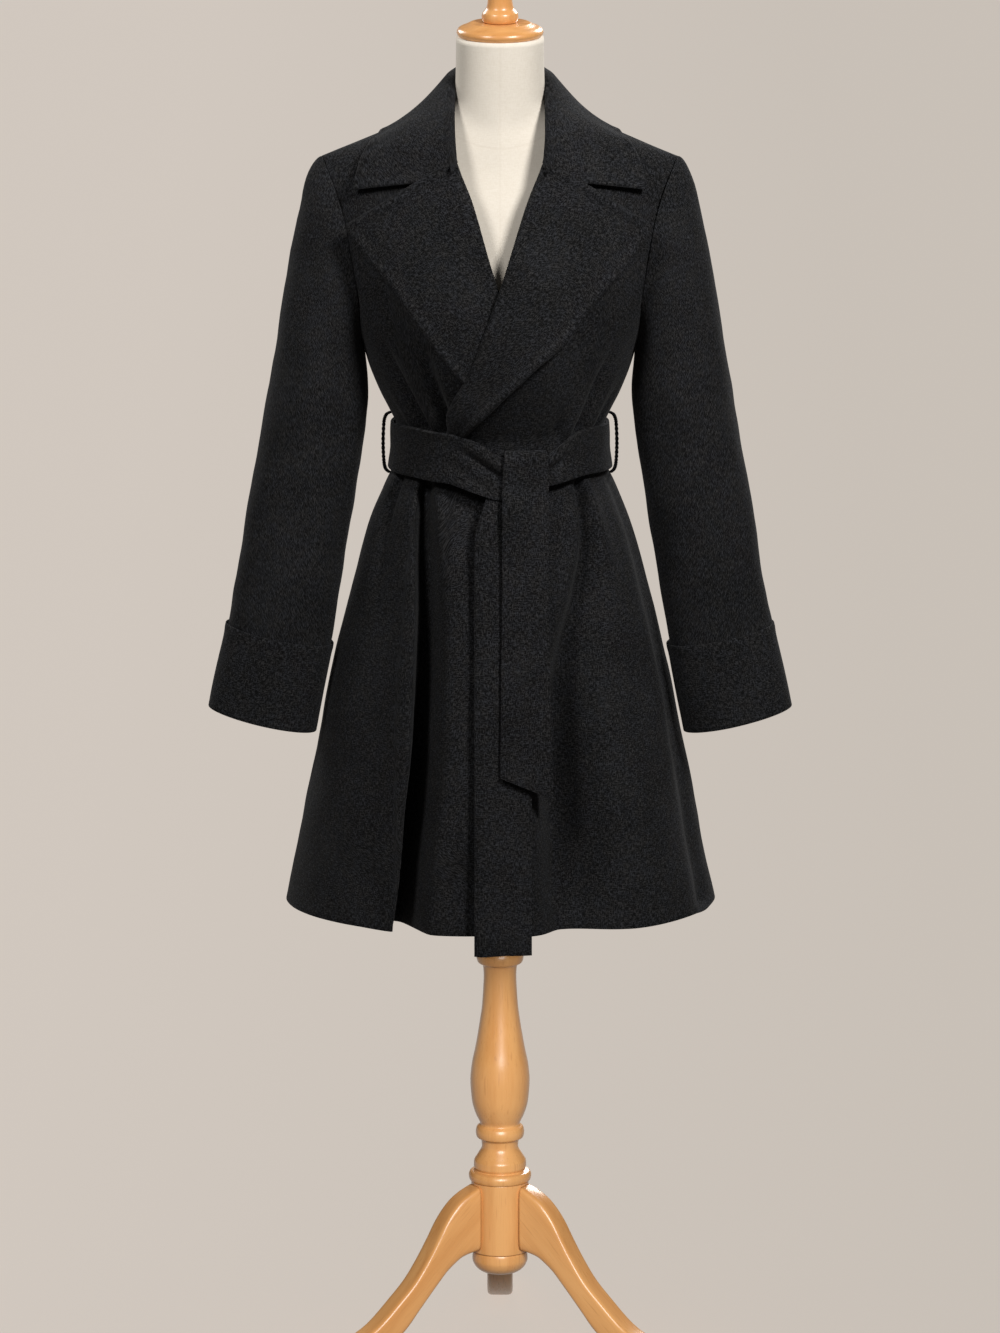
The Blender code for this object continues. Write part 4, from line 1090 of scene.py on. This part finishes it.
def makeSleeve(name, side):
    piece = Piece(sleevePiece, restsOn=["front_left" if side > 0 else "front_right", "back"])
    rows = [[mirrored(p, side) for p in row] for row in sleeveGrid()]
    count = len(rows) - 1
    psis = armTurns()
    wristAt, wristRun = piece.calmWrist

    def drift(p, size, depth):
        return wobble(p, size, piece.seeds[side], depth)

    def soft(i, j, p):
        at = i / count
        depth = 0.0
        for crease in piece.creases:
            lag = crease.slant * (at - crease.at) * piece.slants[side]
            off = swing(psis[j] - crease.psi - lag)
            depth += crease.depth * hump(off, crease.wide) * hump(at - crease.at, crease.tall)
        free = ease(at / piece.calmHead) * ease((wristAt - at) / wristRun)
        return free * (drift(p, *piece.drift) + drift(p, *piece.fineDrift) - depth)

    rows = relief(rows, soft, closed=True, flip=side < 0)
    clothPiece(name, rows, wool, piece, closed=True, flip=side < 0)


cuffPiece = Piece(
    woolPiece,
    wall=0.0020,
    side=1.0,
    held="folded",
    cut=(0.32, 0.097, 0.0297),
    topRing=4,
    rows=18,
    lift=0.0005,
    stand=0.0004,
    drop=0.0012,
    bead=0.0004,
    beadPlace=(0.04, 0.09, 0.004),  # share of the height, the height, width
    standFade=5,
    dropRun=0.2,
    drift=(0.05, 4.4, 0.0010),
    driftLeast=-0.0002,
)


def makeCuff(name, side):
    piece = Piece(cuffPiece, restsOn=["sleeve_left" if side > 0 else "sleeve_right"])
    last = len(sleevePiece.rings) - 1
    beadAt, tall, beadWide = piece.beadPlace
    size, seed, depth = piece.drift
    rows = []
    for k in range(piece.rows + 1):
        t = k / piece.rows
        ring = armRing(piece.topRing + (last - piece.topRing) * t)
        grow = piece.lift + piece.stand * ease(1.0 - t * piece.standFade)
        grow += piece.bead * hump((t - beadAt) * tall, beadWide)
        drop = Vector((0.0, 0.0, piece.drop * ease((t - 1.0 + piece.dropRun) / piece.dropRun)))
        rows.append([mirrored(armPoint(ring, psi, grow) - drop, side) for psi in armTurns()])

    def soft(i, j, p):
        return max(wobble(p, size, seed + side, depth), piece.driftLeast)

    clothPiece(name, relief(rows, soft, True, side < 0), wool, piece, closed=True, flip=side < 0)


for side, word in ((1, "left"), (-1, "right")):
    makeSleeve("sleeve_" + word, side)
    makeCuff("cuff_" + word, side)
print("sleeves and cuffs made")

# belt

bandRow = namedtuple("bandRow", "angle top low stand")
pleatRow = namedtuple("pleatRow", "angle span level wide depth tilt")

beltPiece = Piece(
    wall=0.0038,
    side=1.0,
    slot="belt_wool",
    held="stretched",
    restsOn=["front_left", "front_right", "back"],
    cut=(0.685, 0.058, 0.033),
    bands=rowsOf(bandRow,  # from behind the knot round the right side and back
        (282, 1.001, 0.963, 0.0152), (270, 1.008, 0.962, 0.0152), (258, 1.024, 0.969, 0.0152),
        (243, 1.032, 0.978, 0.0148), (222, 1.032, 0.978, 0.007), (200, 1.028, 0.976, 0.0024),
        (180, 1.024, 0.976, 0.0018), (90, 1.024, 0.976, 0.0012), (0, 1.024, 0.976, 0.002),
        (-20, 1.029, 0.978, 0.0045), (-44, 1.031, 0.981, 0.0095), (-62, 1.0135, 0.977, 0.0145),
        (-67, 1.0072, 0.9755, 0.015), (-75, 1.0065, 0.974, 0.0152),
    ),
    steps=230,
    rows=14,
    crown=0.0009,
    deepest=-0.0048,
    drift=(0.04, 9.1, 0.0006),
    pleats=rowsOf(pleatRow,  # creases that run into the knot; level is the share of the band's height
        (266, 14, 0.6, 0.12, 0.006, -0.01), (262, 15, 0.8, 0.12, -0.0026, -0.004),
        (256, 13, 0.26, 0.1, 0.0022, -0.012), (-66, 12, 0.52, 0.13, 0.0058, 0.014),
        (-60, 12, 0.78, 0.12, -0.0024, 0.006),
    ),
)


def rowAt(z):
    sections = coat.sections[:coat.underarm]
    return between([s.sideZ for s in sections], list(range(coat.underarm)), z)


def beltPoint(angle, z, stand):
    spot, outward = ringSpot(ringAt(round(rowAt(z), 5)), angle, z)
    return spot + outward.normalized() * stand


def makeBelt(name, piece):
    bands = piece.bands
    rows = []
    angles = []
    for i in range(piece.steps + 1):
        angle = bands[0].angle + (bands[-1].angle - bands[0].angle) * i / piece.steps
        top, low, stand = tableRow(bands, angle)
        heights = [low + (top - low) * k / piece.rows for k in range(piece.rows + 1)]
        rows.append([beltPoint(angle, z, stand) for z in heights])
        angles.append(angle)

    def soft(i, j, p):
        level = j / piece.rows
        depth = 0.0
        for pleat in piece.pleats:
            off = angles[i] - pleat.angle
            line = pleat.level + pleat.tilt * off
            depth += pleat.depth * hump(off, pleat.span) * hump(level - line, pleat.wide)
        crown = piece.crown * (1.0 - (2 * level - 1) ** 4)
        return crown + max(wobble(p, *piece.drift) - depth, piece.deepest)

    clothPiece(name, relief(rows, soft), beltWool, piece)


tieRow = namedtuple("tieRow", "z left right stand")

tiePiece = Piece(  # what both hanging ends share
    wall=0.0038,
    side=1.0,
    slot="belt_wool",
    held="hung",
    restsOn=["belt"],
    columns=22,
    stitchIn=0.0055,
    stitchDeep=0.0005,
    stitchThin=0.16,
    stitchStops=(0.0, 0.35, 0.7, 0.9, 1.0, 1.1, 1.35),
    endStitch=(0.006, 0.0012),  # how far in, how wide
    crown=0.0008,
    curlPlace=(0.12, 0.24),
    curlRun=0.1,
    hangFrom=0.2,
    hangRun=0.3,
    drift=(0.07, 12.5, 0.0018),
)

shortEnd = Piece(
    tiePiece,
    cut=(0.059, 0.374, 0.0182),
    rows=62,
    ties=rowsOf(tieRow,
        (1.0055, 0.0055, 0.048, 0.0212), (0.995, 0.004, 0.05, 0.0212), (0.96, 0.003, 0.05, 0.0205),
        (0.925, 0.003, 0.05, 0.016), (0.88, 0.003, 0.05, 0.013), (0.78, 0.002, 0.052, 0.0122),
        (0.66, 0.001, 0.055, 0.0122),
    ),
    slant=0.023,
    curl=0.0012,
    foldBack=0.0076,
    foldRise=0.0034,
    foldLift=0.3,
    foldSteps=6,
)
longEnd = Piece(
    tiePiece,
    cut=(0.061, 0.512, 0.0302),
    rows=78,
    ties=rowsOf(tieRow,
        (0.985, -0.006, 0.03, 0.0105), (0.955, -0.015, 0.033, 0.0085), (0.92, -0.024, 0.034, 0.007),
        (0.84, -0.025, 0.034, 0.0068), (0.66, -0.025, 0.033, 0.0068), (0.502, -0.025, 0.033, 0.0068),
        (0.483, -0.025, 0.033, 0.0068),
    ),
    slant=0.0,
    curl=0.0068,
)


def tiePoint(x, z, stand):
    ring = ringAt(round(rowAt(z), 5))
    share = x / ring.ringX
    return Vector((x, -ring.front * math.sqrt(1 - share * share) - stand, z))


def makeTie(name, piece):
    ties, stops = piece.ties, piece.stitchStops
    top, low = ties[0].z, ties[-1].z
    inner = piece.stitchIn / (ties[-1].right - ties[-1].left)
    count = piece.columns - 2 * len(stops) + 1
    shares = [inner * stop for stop in stops]
    middle = [shares[-1] + (1 - 2 * shares[-1]) * j / count for j in range(1, count)]
    shares = shares + middle + [1.0 - s for s in shares[::-1]]
    rows = []
    for i in range(piece.rows + 1):
        run = i / piece.rows
        z = top + (low - top) * run
        left, right, stand = tableRow(ties, z)
        cut = piece.slant * run
        rows.append([tiePoint(left + (right - left) * s, z - cut * (s - 0.5), stand) for s in shares])
    over = []
    for k in range(piece.get("foldSteps", 0), 0, -1):  # rounds over the top of the band
        a = math.pi * k / piece.foldSteps
        back = piece.foldBack * (1 - math.cos(a)) / 2
        rise = piece.foldRise * (math.sin(a) + piece.foldLift)
        over.append([p + Vector((0.0, back, rise)) for p in rows[0]])
    rows = over + rows
    tall = len(rows) - 1
    endIn, endWide = piece.endStitch
    curlAt, curlWide = piece.curlPlace

    def soft(i, j, p):
        run, share = i / tall, shares[j]
        edge = min(share, 1.0 - share)
        groove = piece.stitchDeep * hump(edge - inner, inner * piece.stitchThin)
        end = piece.stitchDeep * hump((rows[tall][j] - p).length - endIn, endWide)
        hang = ease((run - piece.hangFrom) / piece.hangRun)
        crown = piece.crown * (1.0 - (2 * share - 1) ** 4)
        curl = piece.curl * hump(share - curlAt, curlWide) * ease(run / piece.curlRun)
        return crown + curl + hang * wobble(p, *piece.drift) - max(groove, end)

    clothPiece(name, relief(rows, soft, flip=True), beltWool, piece, flip=True)


makeBelt("belt", beltPiece)
makeTie("belt_end_short", shortEnd)
makeTie("belt_end_long", longEnd)

loopPiece = Piece(
    radius=0.0013,
    roundness=3,
    topZ=1.034,
    lowZ=0.969,
    route=[(0.1205, 1.032), (0.1235, 1.024), (0.1245, 1.000), (0.1235, 0.979), (0.1215, 0.972)],
    standOff=0.0015,
    ply=0.0008,  # two twisted threads
    turns=15,
    steps=90,
)


def makeLoop(name, side):
    ends = []
    for z in (loopPiece.topZ, loopPiece.lowZ):
        ends.append((tableAt(coat.sections, "sideZ", "sideX", z) + loopPiece.standOff, z))
    route = ends[:1] + loopPiece.route + ends[1:]
    curve = bpy.data.curves.new(name, "CURVE")
    curve.dimensions = "3D"
    curve.bevel_depth = loopPiece.radius
    curve.bevel_resolution = loopPiece.roundness
    curve.use_fill_caps = True
    count = loopPiece.steps
    for ply in (0.0, math.pi):
        spline = curve.splines.new("POLY")
        spline.points.add(count)
        for k in range(count + 1):
            x, z = rowBetween(route, (len(route) - 1) * k / count)
            twist = ply + 2 * math.pi * loopPiece.turns * k / count
            x += loopPiece.ply * math.cos(twist)
            spline.points[k].co = (side * x, axisY + loopPiece.ply * math.sin(twist), z, 1.0)
    curve.materials.append(beltWool)
    addPiece(name, curve)


makeLoop("belt_loop_left", 1)
makeLoop("belt_loop_right", -1)
print("belt made")

# dress form

formRow = namedtuple("formRow", "z half front back power")

formPiece = Piece(
    rings=rowsOf(formRow,
        (0.7, 0.13, 0.08, 0.09, 2.0), (0.708, 0.138, 0.087, 0.098, 2.0),
        (0.77, 0.148, 0.094, 0.106, 2.0), (0.83, 0.144, 0.093, 0.107, 2.0),
        (0.9, 0.128, 0.089, 0.097, 2.0), (0.955, 0.109, 0.083, 0.083, 2.0),
        (1.0, 0.1, 0.078, 0.075, 2.0), (1.04, 0.105, 0.082, 0.077, 2.0),
        (1.08, 0.121, 0.095, 0.087, 2.0), (1.125, 0.136, 0.106, 0.097, 2.0),
        (1.165, 0.141, 0.103, 0.101, 2.1), (1.21, 0.148, 0.092, 0.101, 2.1),
        (1.258, 0.157, 0.074, 0.09, 2.0), (1.29, 0.168, 0.06, 0.072, 1.6),
        (1.306, 0.172, 0.054, 0.064, 1.4), (1.32, 0.1555, 0.05, 0.06, 1.35),
        (1.335, 0.119, 0.046, 0.054, 1.35), (1.348, 0.086, 0.043, 0.051, 1.4),
        (1.36, 0.0585, 0.0415, 0.0515, 1.7), (1.375, 0.048, 0.0405, 0.0535, 2.0),
        (1.405, 0.0468, 0.0402, 0.0532, 2.0), (1.438, 0.0465, 0.04, 0.053, 2.0),
    ),
    columns=80,
    rows=150,
)


def meshPiece(name, rings, look):
    points, faces = loft(rings)
    return addPiece(name, newMesh(name, points, faces, look))


def loft(rings):  # closed faces through rings of the same count
    count = len(rings[0])
    faces = [tuple(reversed(range(count)))]
    for i in range(len(rings) - 1):
        for j in range(count):
            k = (j + 1) % count
            faces.append((i * count + j, i * count + k, (i + 1) * count + k, (i + 1) * count + j))
    faces.append(tuple(range((len(rings) - 1) * count, len(rings) * count)))
    return [p for ring in rings for p in ring], faces


def power(value, n):
    return math.copysign(abs(value) ** (2.0 / n), value)


def makeForm(name, piece):
    table = piece.rings
    rings = []
    for i in range(piece.rows + 1):
        z = table[0].z + (table[-1].z - table[0].z) * i / piece.rows
        half, front, back, n = tableRow(table, z)
        ring = []
        for j in range(piece.columns):
            a = 2 * math.pi * j / piece.columns
            s = math.sin(a)
            ring.append((power(math.cos(a), n) * half, power(s, n) * (back if s > 0 else front), z))
        rings.append(ring)
    meshPiece(name, rings, linen)


makeForm("form", formPiece)
print("dress form made")

# turned wood

standPiece = Piece(
    finial=[
        (0.0, 1.52), (0.0075, 1.5185), (0.0135, 1.5135), (0.016, 1.506), (0.014, 1.498),
        (0.0118, 1.4925), (0.0124, 1.483), (0.0134, 1.473), (0.0146, 1.4685), (0.0165, 1.466),
        (0.0187, 1.463), (0.0195, 1.459), (0.0187, 1.4553), (0.0168, 1.4533), (0.0, 1.4533),
    ],
    neck_cap=[
        (0.0, 1.453), (0.03, 1.453), (0.0338, 1.4517), (0.0378, 1.4497), (0.0424, 1.4479),
        (0.045, 1.4457), (0.046, 1.4428), (0.045, 1.4402), (0.0425, 1.4383), (0.0, 1.4383),
    ],
    column=[
        (0.0, 0.6997), (0.03, 0.6997), (0.03, 0.692), (0.017, 0.686), (0.017, 0.447),
        (0.0236, 0.444), (0.0256, 0.4375), (0.024, 0.4305), (0.0188, 0.427), (0.0175, 0.415),
        (0.0192, 0.384), (0.0221, 0.362), (0.0264, 0.3365), (0.0308, 0.314), (0.032, 0.2985),
        (0.0302, 0.2755), (0.0258, 0.2605), (0.0214, 0.2505), (0.025, 0.2465), (0.0262, 0.2411),
        (0.025, 0.2355), (0.0205, 0.2325), (0.0195, 0.225), (0.0246, 0.215), (0.0281, 0.2085),
        (0.0282, 0.203), (0.0266, 0.199), (0.0318, 0.1973), (0.0338, 0.193), (0.0332, 0.1892),
        (0.0315, 0.1872), (0.0, 0.1872),
    ],
    hub=[
        (0.0, 0.1869), (0.0304, 0.1869), (0.031, 0.186), (0.031, 0.11), (0.0304, 0.109), (0.0, 0.109),
    ],
    drop=[
        (0.0, 0.1087), (0.0275, 0.1087), (0.0295, 0.105), (0.0299, 0.099), (0.028, 0.093),
        (0.0225, 0.087), (0.015, 0.084), (0.0, 0.083),
    ],
    sides=72,
    steps=5,
)


def makeTurned(name, look, offset=0.0):
    profile, steps = standPiece[name], standPiece.steps
    line = [rowBetween(profile, k / steps) for k in range((len(profile) - 1) * steps + 1)]
    turns = [2 * math.pi * j / standPiece.sides for j in range(standPiece.sides)]
    rings = []
    for radius, z in line[1:-1][::-1]:  # bottom to top
        rings.append([(radius * math.cos(a), offset + radius * math.sin(a), z) for a in turns])
    return meshPiece(name, rings, look)


legPiece = Piece(
    top=[
        (0.0313, 0.1845), (0.042, 0.18), (0.0545, 0.1725), (0.0645, 0.163), (0.074, 0.1505),
        (0.0855, 0.1305), (0.0985, 0.1095), (0.113, 0.0895), (0.1315, 0.071), (0.167, 0.041),
        (0.205, 0.0265), (0.246, 0.018), (0.257, 0.0125),
    ],
    under=[
        (0.0313, 0.1135), (0.043, 0.1115), (0.053, 0.1085), (0.0625, 0.1025), (0.072, 0.095),
        (0.08, 0.0867), (0.088, 0.078), (0.1065, 0.057), (0.125, 0.036), (0.156, 0.015),
        (0.198, 0.0012), (0.25, 0.0), (0.2605, 0.004),
    ],
    halfWidth=0.014,
    toeThin=0.16,
    grain=(0.72, -0.69),  # ahead, up
    corner=6.0,
    steps=5,
    sides=40,
    azimuths={"leg_back": 90.0, "leg_right": 210.0, "leg_left": 330.0},
)


def makeLeg(name, azimuth):
    c, s = cosSin(azimuth)
    ahead, across = Vector((c, s, 0.0)), Vector((-s, c, 0.0))
    last = len(legPiece.top) - 1
    corner = legPiece.corner
    rings = []
    for k in range(last * legPiece.steps + 1):
        at = k / legPiece.steps
        ends = []
        for word in ("top", "under"):
            reach, z = rowBetween(legPiece[word], at)
            ends.append(ahead * reach + Vector((0.0, 0.0, z)))
        middle, half = (ends[0] + ends[1]) / 2, (ends[0] - ends[1]) / 2
        wide = legPiece.halfWidth * (1.0 - legPiece.toeThin * ease(at - last + 1.0))
        ring = []
        for j in range(legPiece.sides):
            turn = 2 * math.pi * j / legPiece.sides
            up, side = power(math.cos(turn), corner), power(math.sin(turn), corner)
            ring.append(tuple(middle + half * up - across * (wide * side)))
        rings.append(ring)
    forward, rise = legPiece.grain
    grain = ahead * forward + Vector((0.0, 0.0, rise))
    return meshPiece(name, rings, makeBeech(name + "Wood", grain))


turnedWood = makeBeech("turnedBeech", (0.0, 0.0, 1.0))
capWood = makeBeech("capBeech", (1.0, 0.15, 0.0))
makeTurned("finial", turnedWood, coat.neckY)
makeTurned("neck_cap", capWood, coat.neckY)
standMade = [makeTurned(part, turnedWood) for part in ("column", "hub", "drop")]
standMade += [makeLeg(part, azimuth) for part, azimuth in legPiece.azimuths.items()]
print("stand made")

# studio

lampRow = namedtuple("lampRow", "name azimuth height away watts size aimZ group")

studio = Piece(
    # painted light: the floor's colour is lighter at the left and darker at the right, a falloff of light
    # painted into it
    floorLeft=(0.765, 0.692, 0.625, 1.0),
    floorRight=(0.700, 0.637, 0.573, 1.0),
    floorRun=0.55,  # half the width of the painted light falloff, from the lighter left to the darker right
    floorRadius=60,
    floorSides=96,
    floorZ=-0.0005,
    air=(1.0, 0.985, 0.965, 1.0),
    airStrength=0.06,
    lamps=rowsOf(lampRow,  # azimuth is from the front to the viewer's right; each lamp lights one group
        ("rightLamp", 38.0, 41.0, 3.2, 92.0, 0.7, 1.1, "coat"),
        ("leftLamp", -38.0, 41.0, 3.2, 46.0, 0.8, 1.1, "coat"),
        ("backLamp", 152.0, 26.0, 3.2, 58.0, 1.2, 0.95, "coat"),
        ("sideLamp", -140.0, 26.0, 3.2, 40.0, 1.2, 0.95, "coat"),
        ("standLamp", 6.0, 28.0, 2.4, 63.0, 1.2, 0.14, "stand"),
        ("standBackLamp", 170.0, 28.0, 2.4, 52.0, 1.2, 0.2, "stand"),
    ),
    floorLight=2.42,
    tilt=13.0,
    distance=12.0,
    sensor=36.0,
    lookZ=0.756,
    metresPerPixel=0.00107,
    pixelsHigh=1333,
)


def lightGroup(name, pieces, state):
    group = bpy.data.collections.new(name)
    for piece in pieces:
        group.objects.link(piece)
    for member in group.collection_objects:
        member.light_linking.link_state = state
    return group


def makeFloor():
    floor = bpy.data.meshes.new("floor")
    count, radius = studio.floorSides, studio.floorRadius
    ring = [2 * math.pi * k / count for k in range(count)]
    points = [(radius * math.cos(a), radius * math.sin(a), studio.floorZ) for a in ring]
    floor.from_pydata(points, [], [tuple(range(count))])
    look, tree, shader = newLook("paleFloor")
    axes = put(tree, "ShaderNodeSeparateXYZ", {"Vector": put(tree, "ShaderNodeTexCoord").outputs["Object"]})
    # painted light falloff across the floor, lighter at the left and darker at the right
    share = ranged(tree, axes.outputs["X"], -studio.floorRun, studio.floorRun)
    tree.links.new(mixed(tree, share, studio.floorLeft, studio.floorRight), shader.inputs["Base Color"])
    shader.inputs["Roughness"].default_value = 1.0
    shader.inputs["Specular IOR Level"].default_value = 0.0
    floor.materials.append(look)
    made = addThing("floor", floor)
    made.visible_diffuse = False  # the cloth keeps its deep shadows
    return made


def makeLamps(floor):
    groups = {
        "floor": lightGroup("floorGroup", [floor], "INCLUDE"),
        "stand": lightGroup("standGroup", standMade, "INCLUDE"),
        "coat": lightGroup("coatGroup", [floor] + standMade, "EXCLUDE"),
    }
    world = bpy.data.worlds.new("studioAir")
    world.use_nodes = True
    air = world.node_tree.nodes["Background"].inputs
    air["Color"].default_value = studio.air
    air["Strength"].default_value = studio.airStrength
    bpy.context.scene.world = world
    even = bpy.data.lights.new("floorLight", "SUN")  # the floor's own, without shadows
    even.energy = studio.floorLight
    even.use_shadow = False
    addThing("floorLight", even).light_linking.receiver_collection = groups["floor"]
    for row in studio.lamps:
        lamp = bpy.data.lights.new(row.name, "AREA")
        lamp.shape = "DISK"
        lamp.size = row.size
        lamp.energy = row.watts
        holder = addThing(row.name, lamp)
        holder.visible_camera = False
        holder.light_linking.receiver_collection = groups[row.group]
        ahead, aside = cosSin(row.azimuth)
        level, up = cosSin(row.height)
        away = Vector((aside * level, -ahead * level, up))
        holder.rotation_euler = away.to_track_quat("Z", "Y").to_euler()
        holder.location = Vector((0.0, axisY, row.aimZ)) + away * row.away


def makeCamera():
    lens = bpy.data.cameras.new("camera")
    lens.sensor_width = studio.sensor
    lens.lens = studio.sensor * studio.distance / (studio.pixelsHigh * studio.metresPerPixel)
    camera = addThing("camera", lens)
    level, up = cosSin(studio.tilt)
    back = Vector((0.0, -level, up))
    camera.location = Vector((0.0, axisY, studio.lookZ)) + back * studio.distance
    camera.rotation_euler = (-back).to_track_quat("-Z", "Y").to_euler()
    bpy.context.scene.camera = camera
    bpy.context.scene.view_settings.view_transform = "Standard"


makeLamps(makeFloor())
makeCamera()
print("studio made")
